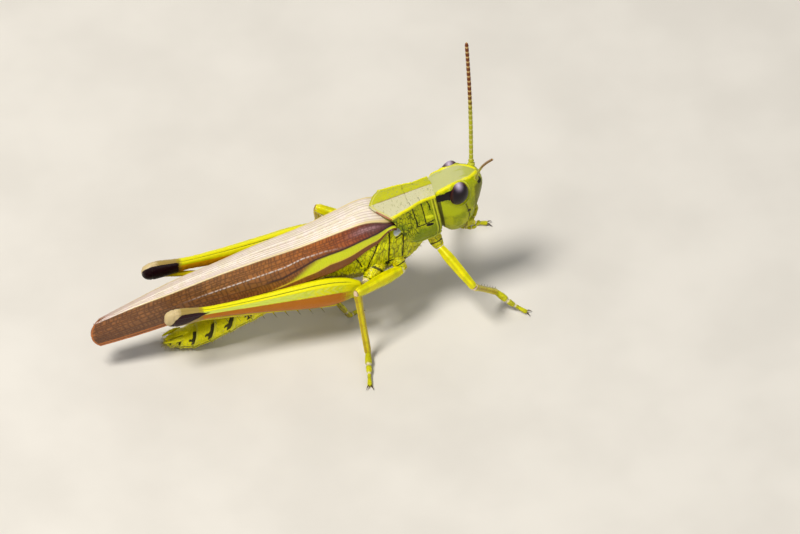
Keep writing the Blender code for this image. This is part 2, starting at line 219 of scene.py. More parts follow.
def net(at: Array, size: float, seed: int = 0) -> Array:
    """How near each place is to a seam of an uneven net.

    Args:
        at: places, with x, y and z in the last axis.
        size: the width of the net's cells.
        seed: another number gives another net.

    Returns:
        The distance to the nearest seam as a share of a cell.
    """
    cell = np.floor(at / size).astype(np.int64)
    first = np.full(at.shape[:-1], FAR)
    second = first.copy()
    for offset in np.ndindex(3, 3, 3):
        x, y, z = (cell[..., axis] + offset[axis] - 1 for axis in range(3))
        away = np.zeros(at.shape[:-1])
        for axis, base in enumerate((x, y, z)):
            spot = base + mixed_bits(x, y, z, seed + axis + 1)
            away += (at[..., axis] / size - spot) ** 2
        away = np.sqrt(away)
        second = np.minimum(second, np.maximum(first, away))
        first = np.minimum(first, away)
    return second - first


def trace(at: Array, path: Path, flat: bool = False) -> Array:
    """The distance from each place to a curve.

    Args:
        at: places, with x, y and z in the last axis.
        path: points that the curve goes through.
        flat: whether to measure as seen from the insect's side.

    Returns:
        The distances, in mm.
    """
    dense = smooth_table(path, TRACE_STEPS * (len(path) - 1) + 1)
    if flat:
        at, dense = at[..., ::2], dense[:, ::2]
    nearest = np.full(at.shape[:-1], np.inf)
    for spot in dense:
        nearest = np.minimum(nearest, ((at - spot) ** 2).sum(axis=-1))
    return np.sqrt(nearest)


def away_from(at: Array, spot: Point, stretch: Point = (1.0, 1.0, 1.0)) -> Array:
    """The distance from each place to a spot, with each axis's square multiplied by its stretch."""
    return np.sqrt(((at - np.array(spot)) ** 2 * np.array(stretch)).sum(axis=-1))


def both_sides(at: Array) -> Array:
    """The places with those on the insect's right turned over to its left."""
    folded = at.copy()
    folded[..., 1] = np.abs(folded[..., 1])
    return folded


def oval(
    turn: Array, half_width: Array, half_height: Array, squareness: Array | float = 1.0
) -> tuple[Array, Array]:
    """Points of a rounded oval.

    Args:
        turn: the angle, in radians.
        half_width, half_height: the oval's sizes.
        squareness: 1 for an ellipse, less for a boxier shape.

    Returns:
        The places across and up.
    """
    across, up = np.cos(turn), np.sin(turn)
    wide = half_width * np.sign(across) * np.abs(across) ** squareness
    high = half_height * np.sign(up) * np.abs(up) ** squareness
    return wide, high


# ---------------------------------------------------------------- finishes


class Bench:
    """A material's node tree, with short calls for the nodes that the finishes use."""

    def __init__(self, name: str) -> None:
        """Starts a material that holds a plain shader."""
        self.material = bpy.data.materials.new(name)
        self.material.use_nodes = True
        self.tree = self.material.node_tree
        self.shader = self.tree.nodes["Principled BSDF"]
        self.place = self.tree.nodes.new("ShaderNodeTexCoord").outputs["Object"]

    def fill(self, node: bpy.types.Node, settings: dict[str | int, Socket | float | Point]) -> None:
        """Sets a node's inputs, each to an output that it's joined to or to a plain value."""
        for key, value in settings.items():
            if isinstance(value, Socket):
                self.tree.links.new(value, node.inputs[key])
            else:
                node.inputs[key].default_value = value

    def finish(self, settings: dict[str, Socket | float | Point]) -> Material:
        """Sets the shader's inputs and gives the material back."""
        self.fill(self.shader, settings)
        return self.material

    def colour(self, value: Paint) -> Socket:
        """A plain colour's output, or the output that was given."""
        if isinstance(value, Socket):
            return value
        node = self.tree.nodes.new("ShaderNodeRGB")
        node.outputs[0].default_value = linear(value)
        return node.outputs[0]

    def mix(self, share: Socket, under: Paint, over: Paint, strength: float = 0.0) -> Socket:
        """Lays one colour over another.

        Args:
            share: how much of the upper colour shows.
            under, over: the two colours, each a shade or an output.
            strength: what the share is multiplied by, unless it's 0.

        Returns:
            The mixed colour's output.
        """
        if strength:
            share = self.sums("MULTIPLY", share, strength)
        lower, upper = self.colour(under), self.colour(over)
        node = self.tree.nodes.new("ShaderNodeMix")
        node.data_type = "RGBA"
        self.fill(node, {0: share, 6: lower, 7: upper})
        return node.outputs[2]

    def sums(self, kind: str, first: Socket, second: Socket | float) -> Socket:
        """A sum of two numbers, clamped from 0 to 1.

        Args:
            kind: the sum's name, such as MULTIPLY or ADD.
            first: an output.
            second: an output or a number.

        Returns:
            The sum's output.
        """
        node = self.tree.nodes.new("ShaderNodeMath")
        node.operation = kind
        node.use_clamp = True
        self.fill(node, {0: first, 1: second})
        return node.outputs[0]

    def reach(self, value: Socket, low: float, high: float, least: float = 0.0, most: float = 1.0) -> Socket:
        """Stretches a value from low..high to least..most, softly."""
        node = self.tree.nodes.new("ShaderNodeMapRange")
        node.interpolation_type = "SMOOTHSTEP"
        self.fill(node, dict(enumerate((value, low, high, least, most))))
        return node.outputs[0]

    def noise(self, size: float, detail: float = 3.0, warp: float = 0.0) -> Socket:
        """Cloudy values whose patches are size mm across."""
        node = self.tree.nodes.new("ShaderNodeTexNoise")
        self.fill(node, {"Vector": self.place, "Scale": 1 / (size * MM)})
        self.fill(node, {"Detail": detail, "Distortion": warp})
        return node.outputs[0]

    def pits(self, size: float) -> Socket:
        """Distance to the nearest of many scattered points, size mm apart."""
        node = self.tree.nodes.new("ShaderNodeTexVoronoi")
        self.fill(node, {"Vector": self.place, "Scale": 1 / (size * MM)})
        return node.outputs["Distance"]

    def mask(self, name: str) -> Socket:
        """A mask that the skin carries at its points."""
        node = self.tree.nodes.new("ShaderNodeAttribute")
        node.attribute_name = name
        return node.outputs["Fac"]

    def bump(self, height: Socket, depth: float, under: Socket | None = None) -> Socket:
        """Fine relief, depth mm deep, laid over any relief under it."""
        node = self.tree.nodes.new("ShaderNodeBump")
        lower = {} if under is None else {"Normal": under}
        self.fill(node, {"Distance": depth * MM, "Strength": 1.0, "Height": height, **lower})
        return node.outputs[0]


@dataclass(frozen=True)
class Mark:
    """One colour of a finish, shown where the skin's mask of that name is high."""

    mask: str
    colour: Shade
    strength: float = 1.0
    low: float = 0.2
    high: float = 0.8


def paint(**rows: tuple[float, ...]) -> tuple[Mark, ...]:
    """Marks in order, each given as its mask's name and a row of its shade, strength, low and high."""
    return tuple(Mark(mask, row[:3], *row[3:]) for mask, row in rows.items())


@dataclass(frozen=True)
class Cuticle:
    """Insect shell: a ground colour that drifts, small flecks, then the marks in order."""

    name: str
    ground: Shade
    drift: Shade
    fleck: Shade
    marks: tuple[Mark, ...] = ()
    drift_size: float = 0.7
    fleck_size: float = 0.07
    fleck_share: float = 0.5
    roughness: float = 0.38
    pit_size: float = 0.09
    pit_depth: float = 0.008
    coat: float = 0.04
    coat_roughness: float = 0.2
    specular: float = 0.2
    glow: float = 0.08
    glow_depth: float = 0.25
    glow_colours: Point = (1.0, 0.8, 0.3)
    ragged_size: float = 0.12
    ragged: float = 0.12

    def make(self) -> Material:
        """Builds the material.

        Returns:
            The finished material.
        """
        bench = Bench(self.name)
        clouds = bench.noise(self.drift_size, 4.0, 0.4)
        skin = bench.mix(bench.reach(clouds, 0.4, 0.62), self.ground, self.drift)
        specks = bench.noise(self.fleck_size, 2.0)
        skin = bench.mix(bench.reach(specks, 0.56, 0.68, 0.0, self.fleck_share), skin, self.fleck)
        edge = bench.reach(bench.noise(self.ragged_size, 2.0), 0.3, 0.7, -self.ragged, self.ragged)
        for mark in self.marks:
            shown = bench.sums("ADD", bench.mask(mark.mask), edge)
            skin = bench.mix(bench.reach(shown, mark.low, mark.high, 0.0, mark.strength), skin, mark.colour)
        gloss = bench.reach(specks, 0.3, 0.7, self.roughness - 0.07, self.roughness + 0.1)
        coarse = bench.bump(bench.pits(self.pit_size), self.pit_depth)
        fine = bench.bump(bench.noise(self.pit_size * 0.35, 3.0), self.pit_depth * 0.6, coarse)
        return bench.finish({
            "Base Color": skin, "Roughness": gloss, "Normal": fine, "Specular IOR Level": self.specular,
            "Coat Weight": self.coat, "Coat Roughness": self.coat_roughness, "Subsurface Weight": self.glow,
            "Subsurface Radius": self.glow_colours, "Subsurface Scale": self.glow_depth * MM,
        })


@dataclass(frozen=True)
class EyeLacquer:
    """Glossy dark facets, redder low down at the back, with a painted highlight at the top."""

    name: str = "eye_lacquer"
    deep: Shade = (24, 8, 20)
    warm: Shade = (66, 32, 30)
    # painted highlight: a lavender-white patch laid on the top of the eye as colour
    bloom: Shade = (196, 180, 206)
    painted_highlight_strength: float = 0.8
    facet_size: float = 0.035
    facet_depth: float = 0.0016
    roughness: float = 0.28
    coat: float = 0.12
    coat_roughness: float = 0.12
    bending: float = 1.28  # how strongly the lacquer bends light

    def make(self) -> Material:
        """Builds the material.

        Returns:
            The finished material.
        """
        bench = Bench(self.name)
        facets = bench.mix(bench.reach(bench.mask("rim"), 0.15, 0.9), self.deep, self.warm)
        facets = bench.mix(bench.mask("bloom"), facets, self.bloom, self.painted_highlight_strength)
        return bench.finish({
            "Base Color": facets, "Roughness": self.roughness, "IOR": self.bending, "Coat Weight": self.coat,
            "Coat Roughness": self.coat_roughness,
            "Normal": bench.bump(bench.pits(self.facet_size), self.facet_depth),
        })


# ---------------------------------------------------------------- skins


class Drawing:
    """The insect's drawing, and where the frame's solids put it."""

    eye_middle = np.array([-1.68, 0.0, 10.3])

    def __init__(self) -> None:
        """Finds the drawing's place from the middles of both eyes."""
        middles = []
        for side in Side:
            low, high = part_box(f"eye_{side.word}")
            middles.append((np.array(low) + np.array(high)) / 2 / MM)
        self.shift = (middles[0] + middles[1]) / 2 - self.eye_middle

    def to_frame(self, at: Array) -> Array:
        """Places in the frame, in metres, of places in the drawing."""
        return (at + self.shift) * MM


SAME_PLACE = 2e-7  # metres, under which two points are one


def pick(*pieces: Piece) -> None:
    """Selects these pieces and nothing else, with the first one active."""
    bpy.ops.object.select_all(action="DESELECT")
    for piece in pieces:
        piece.select_set(True)
    if pieces:
        bpy.context.view_layer.objects.active = pieces[0]


class Skin:
    """A surface shaped from a flat grid, with u across it or round it and v along it."""

    across: int = 60
    along: int = 60
    ring: bool = False
    wall: float = 0.0

    def surface(self, u: Array, v: Array) -> Array:
        """The smooth shape's places, in drawing mm."""
        raise NotImplementedError

    def relief(self, at: Array, u: Array, v: Array) -> tuple[Array, Masks]:
        """The height of ridges and seams above the smooth shape, and the masks for its finish."""
        return np.zeros(u.shape), {}

    def outward(self, at: Array) -> tuple[Array, bool]:
        """Directions square to the surface.

        Args:
            at: the grid's places.

        Returns:
            Unit directions that point away from the body, and whether the grid's faces point inwards.
        """
        du = np.gradient(at, axis=1)
        if self.ring:
            du[:, 0] = du[:, -1] = (at[:, 1] - at[:, -2]) / 2
        dv = np.gradient(at, axis=0)
        square = np.cross(du, dv)
        square /= np.maximum(np.linalg.norm(square, axis=-1, keepdims=True), TINY)
        away = at - at.mean(axis=1, keepdims=True)
        inwards = (square * away).sum() < 0
        return (-square if inwards else square), inwards

    def build(self, name: str, drawing: Drawing) -> Piece:
        """Shapes the grid into the skin.

        Args:
            name: the piece's name.
            drawing: where the drawing lies in the frame.

        Returns:
            The finished mesh object.
        """
        pick()
        bpy.ops.mesh.primitive_grid_add(x_subdivisions=self.across, y_subdivisions=self.along, size=2.0)
        made = bpy.context.active_object
        made.name = made.data.name = name
        u, v = np.meshgrid(np.linspace(0, 1, self.across + 1), np.linspace(0, 1, self.along + 1))
        at = self.surface(u, v)
        square, inwards = self.outward(at)
        height, masks = self.relief(at, u, v)
        at = at + square * height[..., None]
        at[..., 2] = np.maximum(at[..., 2], 0.0)
        made.data.vertices.foreach_set("co", drawing.to_frame(at).astype(np.float32).ravel())
        for key, share in masks.items():
            layer = made.data.attributes.new(key, "FLOAT", "POINT")
            layer.data.foreach_set("value", share.astype(np.float32).ravel())
        made.data.update()
        self.close(made, inwards)
        return made

    def close(self, made: Piece, inwards: bool) -> None:
        """Turns the faces out, closes a ring's seam and ends, and gives an open sheet its wall."""
        bpy.ops.object.mode_set(mode="EDIT")
        bpy.ops.mesh.select_all(action="SELECT")
        if self.ring:
            bpy.ops.mesh.remove_doubles(threshold=SAME_PLACE)
            bpy.ops.mesh.select_all(action="DESELECT")
            bpy.ops.mesh.select_non_manifold()
            bpy.ops.mesh.fill_holes(sides=0)
            bpy.ops.mesh.select_all(action="SELECT")
            bpy.ops.mesh.normals_make_consistent(inside=False)
        elif inwards:
            bpy.ops.mesh.flip_normals()
        bpy.ops.object.mode_set(mode="OBJECT")
        if self.wall:
            solid = made.modifiers.new("wall", "SOLIDIFY")
            solid.thickness = self.wall * MM
            solid.offset = -1.0
            bpy.ops.object.modifier_apply(modifier=solid.name)
        bpy.ops.object.shade_smooth()


def dress(made: Piece, material: Material, nodes: tuple[str, ...] = ()) -> None:
    """Gives a piece its material, hangs it on the body and hides the frame's solids it stands for.

    Args:
        made: the piece.
        material: its finish.
        nodes: the frame's solids it stands for.
    """
    made.data.materials.clear()
    made.data.materials.append(material)
    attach(made, BODY)
    if nodes:
        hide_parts(*nodes)
    log.info("%s: %d faces", made.name, len(made.data.polygons))


# ---------------------------------------------------------------- body

VERTEX_TOP = 11.15
LEAN = math.tan(math.radians(8.0))
EYE_CENTRE = np.array([-1.68, 1.12, 10.3])
EYE_RADII = np.array([0.68, 0.48, 0.97])


def top_line(x: Array | float) -> Array | float:
    """The height of the head's and saddle's top line."""
    return VERTEX_TOP + x * LEAN


@dataclass
class HeadCapsule(Skin):
    """The head, lofted from the vertex down to the mouth, with its ridges, seams and eye rims."""

    across: int = 220
    along: int = 190
    ring: bool = True
    shape: Table = Table(
        (  # drop from the top line, back x, front x, half width
            (-0.075, -1.75, -1.65, 0.02),
            (-0.065, -2.6, -1.0, 0.36),
            (-0.04, -3.3, -0.45, 0.7),
            (0.05, -3.55, -0.12, 1.0),
            (0.34, -3.7, 0.2, 1.19),
            (1.0, -3.75, 0.34, 1.28),
            (1.9, -3.7, 0.18, 1.33),
            (2.9, -3.3, -0.12, 1.36),
            (3.7, -2.8, -0.42, 1.2),
            (4.3, -2.35, -0.75, 0.9),
            (4.62, -2.05, -1.08, 0.5),
            (4.7, -1.7, -1.45, 0.1),
        )
    )
    brow: Path = (
        (-3.7, 0.98, 10.45), (-3.0, 0.94, 10.68), (-2.23, 0.86, 10.95),
        (-1.14, 0.7, 11.1), (-0.64, 0.55, 11.13), (-0.1, 0.15, 11.13),
    )
    rostrum: Path = (
        (-0.25, 0.16, 11.05), (0.02, 0.2, 10.7), (0.2, 0.17, 10.2), (0.24, 0.2, 9.6),
        (0.16, 0.26, 8.8), (0.0, 0.3, 8.0), (-0.25, 0.34, 7.3),
    )
    cheek_ridge: Path = (
        (-0.3, 0.72, 10.2), (-0.3, 0.85, 9.4), (-0.35, 0.92, 8.6), (-0.55, 0.9, 7.8), (-0.75, 0.8, 7.2),
    )
    tear: Path = ((-1.2, 1.2, 9.3), (-1.05, 1.2, 8.8), (-0.9, 1.15, 8.2), (-0.95, 1.05, 7.5))
    tear_spot: Point = (-0.95, 1.22, 8.55)
    socket: Path = ((-1.0, 0.9, 10.75), (-0.6, 0.75, 10.88), (-0.35, 0.55, 10.98), (-0.15, 0.5, 11.05))
    feeler_pit: Point = (-0.18, 0.58, 10.72)
    mouth_seam: Path = (
        (0.0, 0.0, 7.55), (-0.25, 0.5, 7.45), (-0.6, 0.85, 7.3), (-1.05, 1.05, 7.15), (-1.6, 1.1, 7.0),
    )
    jaw_seam: Path = ((-1.05, 1.1, 7.3), (-1.3, 1.0, 6.8), (-1.45, 0.7, 6.45))
    band: Path = ((-3.7, 0.85, 10.0), (-3.2, 1.0, 10.12), (-2.7, 1.1, 10.27), (-2.2, 1.12, 10.4))
    lobe: Path = ((-2.9, 0.95, 9.3), (-2.45, 1.2, 9.1), (-1.95, 1.25, 8.9))

    def surface(self, u: Array, v: Array) -> Array:
        """The smooth capsule."""
        drop, back, front, half_width = self.shape.at(v)
        turn = 2 * np.pi * u
        squareness = np.where(np.sin(turn) > 0, 0.9, 0.62)
        y, out = oval(turn, half_width, (front - back) / 2, squareness)
        x = (front + back) / 2 + out
        crown = 0.22 * hump(x + 1.6, 1.1) * step(1.2, 0.1, drop)
        crown -= 0.1 * step(-3.05, -3.35, x) * step(0.6, 0.2, drop)
        return np.stack([x, y, top_line(x) - drop + crown], axis=-1)

    def relief(self, at: Array, u: Array, v: Array) -> tuple[Array, Masks]:
        """Ridges of the vertex and face, cheek seams, the eye rims and all of the head's colour marks."""
        spot = both_sides(at)
        x, y, z = (spot[..., k] for k in range(3))
        eye = np.sqrt((((spot - EYE_CENTRE) / (EYE_RADII * 1.02)) ** 2).sum(axis=-1))
        brow = trace(spot, self.brow)
        rostrum = trace(spot, self.rostrum)
        cheek_ridge = trace(spot, self.cheek_ridge)
        tear = trace(spot, self.tear, True)
        socket = trace(spot, self.socket)
        pit = away_from(spot, self.feeler_pit)
        mouth_seam = trace(spot, self.mouth_seam)
        jaw_seam = trace(spot, self.jaw_seam)
        height = 0.05 * hump(brow, 0.09) + 0.05 * hump(rostrum, 0.07) + 0.04 * hump(cheek_ridge, 0.06)
        height -= 0.045 * hump(tear, 0.05) + 0.035 * hump(mouth_seam, 0.05) + 0.04 * hump(jaw_seam, 0.05)
        height += 0.07 * hump(eye - 1.13, 0.07)
        height -= 0.06 * hump(pit, 0.24) - 0.04 * hump(pit - 0.3, 0.06)
        height -= 0.03 * hump(y, 0.16) * step(-0.1, 0.2, x) * step(7.6, 8.4, z)
        height -= 0.02 * hump(y, 0.5) * step(10.7, 11.0, z)
        wrinkles = net(at * np.array([1.0, 1.0, 0.6]), 0.24, 5)
        rough = step(9.9, 9.0, z) * 0.5 + 0.15
        height += rough * (0.012 * step(0.0, 0.3, wrinkles) + 0.016 * grain(at, 0.16, 8))
        band = trace(spot, self.band, True)
        band = band / (0.8 + (1.15 - 0.8) * np.clip((x + 3.2) / (-2.2 + 3.2), 0, 1))
        collar = step(0.34, 0.24, x + 3.25 - LEAN * (9.5 - z)) * step(10.3, 10.1, z)
        lobe = trace(spot, self.lobe)
        mottle = 0.6 * step(0.45, 0.8, grain(at * np.array([0.35, 1.0, 1.0]), 0.22, 72))
        mottle = np.clip(mottle + step(-1.5, -0.6, x) * step(0.75, 0.4, y), 0, 1)
        # painted reflection: the top of the head between the eyes made pale grey as if it mirrored the sky
        crown = step(0.9, 0.76, y + 0.28 * step(-1.3, -0.3, x))
        masks = {
            "crown": crown * step(10.3, 10.5, z) * step(0.0, -0.3, x),
            "brow": hump(brow, 0.15) * step(10.2, 10.45, z),
            "band": step(0.36, 0.28, band + 0.06 * grain(at, 0.12, 74)),
            "collar": collar,
            "lobe": hump(lobe, 0.62),
            "face": step(-0.75, -0.25, x) * step(10.9, 10.5, z),
            "freckle": step(0.62, 0.8, grain(at, 0.1, 71)) * step(-1.1, -0.3, x) * step(10.7, 10.2, z),
            "mottle": mottle * step(10.2, 10.6, z),
            "tear": np.maximum(hump(tear, 0.06) * 0.75, hump(away_from(spot, self.tear_spot), 0.17)),
            "socket": np.maximum(hump(socket, 0.075), hump(pit - 0.22, 0.07)),
            "rim": hump(eye - 1.12, 0.06) * step(10.2, 10.7, z),
            "seam": np.maximum(hump(mouth_seam, 0.05), hump(jaw_seam, 0.05)),
            "jaw": step(7.5, 6.9, z),
        }
        return height, masks


@dataclass
class EyeBall(Skin):
    """One compound eye: an upright egg, slimmer at the top, with a rim where it meets the head."""

    side: Side = Side.LEFT
    across: int = 72
    along: int = 56
    ring: bool = True

    def surface(self, u: Array, v: Array) -> Array:
        """The egg."""
        fall = np.pi * (0.004 + 0.992 * v)
        turn = 2 * np.pi * u
        slim = 1 - 0.1 * np.cos(fall)
        x = EYE_RADII[0] * np.sin(fall) * np.cos(turn) * slim + 0.1 * np.cos(fall)
        y = EYE_RADII[1] * np.sin(fall) * np.sin(turn)
        z = EYE_RADII[2] * np.cos(fall)
        middle = EYE_CENTRE
        return np.stack([middle[0] + x, self.side.value * (middle[1] + y), middle[2] + z], axis=-1)

    def relief(self, at: Array, u: Array, v: Array) -> tuple[Array, Masks]:
        """A warm rim where the facets end, and a painted highlight at the top."""
        out = np.abs(at[..., 1])
        low = step(9.9, 9.5, at[..., 2]) + step(-2.0, -2.25, at[..., 0])
        # painted highlight: a soft pale patch at the top of the eye, fixed to the surface
        bloom = hump(np.hypot((at[..., 0] + 1.74) / 0.24, (at[..., 2] - 11.2) / 0.27), 1.0)
        return np.zeros(u.shape), {"rim": np.clip(step(1.36, 1.18, out) + 0.5 * low, 0, 1), "bloom": bloom}


@dataclass
class Saddle(Skin):
    """The plate behind the head: a ridged back, two side lobes, cross grooves and an angled hind edge."""

    across: int = 300
    along: int = 210
    wall: float = 0.14
    front: float = -3.38
    apex: float = -7.94
    corner: float = -6.85
    lobe_drop: float = 3.5
    back_share: float = 0.36
    grooves: tuple[Path, ...] = (
        ((-4.55, 0.6, 10.3), (-4.46, 0.97, 10.19), (-4.3, 1.3, 9.3), (-4.22, 1.6, 8.55)),
        ((-5.25, 0.0, 10.35), (-5.3, 0.6, 10.2), (-5.15, 1.13, 9.98), (-4.95, 1.5, 9.1), (-4.81, 1.64, 8.45)),
        ((-4.0, 1.0, 10.1), (-3.85, 1.15, 9.75), (-3.82, 1.25, 9.45)),
        ((-4.85, 1.65, 8.45), (-4.3, 1.63, 8.52), (-3.9, 1.58, 8.6), (-3.62, 1.5, 8.68)),
    )
    blotch: Point = (-3.95, 1.45, 8.98)

    def surface(self, u: Array, v: Array) -> Array:
        """The smooth plate."""
        w = np.abs(2 * u - 1)
        side = np.sign(2 * u - 1)
        d = np.clip(w / self.back_share, 0, 1)
        t = np.clip((w - self.back_share) / (1 - self.back_share), 0, 1)
        hind_back = self.apex + (self.corner - self.apex) * d**1.25
        hind_lobe = self.corner + 1.15 * t + 0.4 * step(0.84, 1.0, t) ** 2
        hind = np.where(t > 0, hind_lobe, hind_back)
        front = self.front + 0.12 * step(0.75, 1.0, t) * -1 + 0.05 * hump(w, 0.2)
        x = front + (hind - front) * v
        top = top_line(x) - 0.02
        length = np.clip((self.front - x) / (self.front - self.apex), 0, 1)
        waist = np.exp(-(((x + 4.5) / 0.7) ** 2))
        carina_y = 0.98 + 0.72 * length**1.3 - 0.12 * waist
        carina_z = top - 0.28 - 0.55 * length**1.5
        bulge = 1.62 + 0.22 * np.sin(np.pi * np.clip((self.front - x) / 3.6, 0, 1))
        shoulder = np.interp(t, [0, 0.15, 0.3, 0.5, 0.68, 0.85, 1.0], [0, 0.22, 0.47, 0.82, 1.0, 0.98, 0.84])
        outer = np.maximum(carina_y, bulge)
        y_back = carina_y * d
        sag = (0.03 + 0.32 * length) * (1 - d**2)
        z_back = top + 0.05 - sag - (top + 0.05 - carina_z) * (0.3 * d + 0.7 * d**3)
        y_lobe = carina_y + (outer - carina_y) * shoulder
        y_lobe = np.where(t > 0.85, y_lobe - 0.06 * (t - 0.85) / 0.15, y_lobe)
        floor = top - self.lobe_drop + 0.22 * np.clip((x + 4.2) / 0.75, 0, None) ** 2
        z_lobe = carina_z + (floor - carina_z) * t
        y = np.where(t > 0, y_lobe, y_back)
        z = np.where(t > 0, z_lobe, z_back)
        return np.stack([x + (top - z) * LEAN, side * y, z], axis=-1)

    def relief(self, at: Array, u: Array, v: Array) -> tuple[Array, Masks]:
        """Keels, cross grooves, wrinkles and the saddle's colour marks."""
        w = np.abs(2 * u - 1)
        d = w / self.back_share
        t = (w - self.back_share) / (1 - self.back_share)
        spot = both_sides(at)
        length = np.linalg.norm(np.gradient(at, axis=0), axis=-1).sum(axis=0, keepdims=True)
        ahead = v * length
        behind = (1 - v) * length
        on_lobe = step(0.0, 0.08, t)
        keel = hump((d - 1) * 1.25, 0.1)
        middle = hump(d * 1.25, 0.055)
        collar = hump(ahead - 0.14, 0.05) + hump(ahead - 0.34, 0.05)
        seam = np.minimum.reduce([trace(spot, groove, True) for groove in self.grooves])
        crease = net(spot * np.array([1.25, 0.7, 0.6]), 0.24, 3)
        lobe_rough = on_lobe * step(0.98, 0.55, t) * (0.35 + 0.65 * step(-4.2, -5.2, spot[..., 0]))
        crease_line = step(0.2, 0.02, crease)
        height = 0.085 * keel + 0.035 * middle * step(-3.7, -4.0, spot[..., 0])
        height -= 0.05 * hump(seam, 0.05) * np.maximum(on_lobe, 0.5)
        height += 0.035 * collar * on_lobe
        wrinkles = lobe_rough * (0.03 * step(0.0, 0.35, crease) + 0.02 * grain(at, 0.2, 4))
        height += wrinkles + 0.012 * grain(at, 0.12, 7)
        height += 0.04 * hump(t - 0.985, 0.02) - 0.03 * hump(t - 0.94, 0.02)
        height += 0.03 * hump(behind, 0.05) * step(1.1, 1.0, d)
        blotch = away_from(spot, self.blotch, (0.35, 1.0, 3.2))
        pit = np.hypot((spot[..., 0] + 3.93) / 0.34, (spot[..., 2] - 8.42) / 0.13)
        back = step(1.0, 0.9, d)
        right_half = step(-0.03, 0.03, -at[..., 1])
        masks = {
            "back": back,
            # painted reflection: the right half of the back made pale grey-cream as if it mirrored the sky
            "near_back": back * right_half * (0.65 + 0.35 * step(-3.3, -5.5, at[..., 0])),
            "keel": keel,
            "speckle": step(0.25, 0.8, grain(at * np.array([1.2, 0.9, 1.0]), 0.075, 73)) * back,
            "middle": hump(d * 1.25, 0.03) * step(7.7, 6.9, -at[..., 0]),
            "seam": hump(seam, 0.05) * np.maximum(on_lobe, 0.45),
            "crease": crease_line * lobe_rough,
            "collar_dark": (hump(ahead - 0.24, 0.035) + hump(ahead - 0.02, 0.035)) * on_lobe,
            "collar_pale": (hump(ahead - 0.13, 0.05) + hump(ahead - 0.36, 0.05)) * on_lobe,
            "blotch": hump(blotch, 0.24),
            "spot": step(1.1, 0.6, pit) * on_lobe,
            "lower": step(0.56, 0.66, t) * step(-5.4, -4.9, spot[..., 0]),
            "hem": hump(t - 0.985, 0.02) * on_lobe,
            "hem_dark": hump(t - 0.93, 0.015) * step(-4.6, -4.0, spot[..., 0]) * on_lobe,
            "hind": step(0.09, 0.04, behind) * step(1.1, 1.0, d) * step(-0.35, -0.8, at[..., 1]),
            "hind_pale": hump(behind - 0.16, 0.07) * step(1.1, 1.0, d),
        }
        return height, masks


@dataclass
class Trunk(Skin):
    """The neck skin, breast plates and wing-bearing box behind the head."""

    across: int = 260
    along: int = 230
    ring: bool = True
    shape: Table = Table(
        (  # x, top, bottom, half width
            (-2.75, 9.7, 7.3, 0.6),
            (-3.5, 9.8, 6.75, 0.8),
            (-4.3, 9.75, 5.75, 1.12),
            (-5.3, 9.3, 4.85, 1.4),
            (-6.5, 8.9, 4.5, 1.68),
            (-7.5, 8.75, 4.4, 1.86),
            (-8.5, 8.6, 4.4, 1.92),
            (-9.5, 8.3, 4.25, 1.84),
            (-10.6, 7.95, 4.2, 1.68),
            (-11.6, 7.4, 4.1, 1.5),
        )
    )

    slants: tuple[Path, ...] = (
        ((-5.75, 1.2, 8.3), (-5.85, 1.45, 6.9), (-5.9, 1.4, 5.6)),
        ((-6.8, 1.55, 8.25), (-6.87, 1.7, 7.45), (-6.98, 1.72, 6.3), (-6.95, 1.6, 5.55)),
        ((-7.75, 1.85, 7.6), (-8.15, 1.87, 6.8), (-8.43, 1.87, 6.15), (-8.6, 1.8, 5.5)),
        ((-9.7, 1.75, 7.2), (-9.3, 1.85, 6.6), (-9.0, 1.85, 5.9)),
    )
    base: Path = (
        (-5.35, 1.2, 5.25), (-5.9, 1.4, 5.5), (-6.3, 1.5, 5.68), (-6.9, 1.6, 5.75), (-7.2, 1.7, 5.3),
        (-7.9, 1.75, 5.6), (-8.8, 1.75, 5.5),
    )
    wing_root: Path = ((-5.75, 1.4, 8.42), (-6.05, 1.5, 8.15), (-6.35, 1.55, 7.95))
    under_root: Path = ((-5.62, 1.4, 8.2), (-5.92, 1.5, 7.85), (-6.4, 1.55, 7.62))
    leg_gap: Point = (-7.15, 1.7, 5.75)
    gap_shape: Point = (1.0, 0.6, 0.7)

    def surface(self, u: Array, v: Array) -> Array:
        """The smooth box."""
        x, top, bottom, half_width = self.shape.at(v)
        turn = 2 * np.pi * u
        y, up = oval(turn, half_width, (top - bottom) / 2, np.where(np.sin(turn) > 0, 0.82, 0.55))
        share = np.clip(up / ((top - bottom) / 2), 0, 1)
        return np.stack([x, y * (1 - 0.34 * share**2), (top + bottom) / 2 + up], axis=-1)

    def relief(self, at: Array, u: Array, v: Array) -> tuple[Array, Masks]:
        """Slanting plates parted by dark seams, wrinkled skin and the pale wing root."""
        spot = both_sides(at)
        x, z = spot[..., 0], spot[..., 2]
        seam = np.minimum.reduce([trace(spot, slant, True) for slant in self.slants])
        base = trace(spot, self.base, True)
        gap = np.sqrt((((spot - np.array(self.leg_gap)) * np.array(self.gap_shape)) ** 2).sum(axis=-1))
        root = trace(spot, self.wing_root, True)
        under_root = trace(spot, self.under_root, True)
        crease = net(spot * np.array([1.0, 0.7, 0.6]), 0.26, 11)
        wrinkled = 0.4 + 0.6 * step(8.2, 7.4, z)
        height = -0.07 * hump(seam, 0.07) - 0.08 * hump(base, 0.07)
        wrinkles = wrinkled * (0.035 * step(0.0, 0.35, crease) + 0.03 * grain(at, 0.25, 12))
        height += wrinkles + 0.04 * hump(seam - 0.22, 0.1)
        height += 0.12 * hump(root, 0.26)
        dark = ((seam, 0.06), (base, 0.07), (gap, 0.2), (under_root, 0.06))
        masks = {
            "seam": np.maximum.reduce([hump(away, width) for away, width in dark]),
            "crease": step(0.16, 0.02, crease) * wrinkled,
            "pale": step(0.24, 0.12, root),
            "neck": step(-3.6, -3.1, x),
            "under": step(5.6, 5.1, z),
            "bright": hump(seam - 0.3, 0.12),
        }
        return height, masks


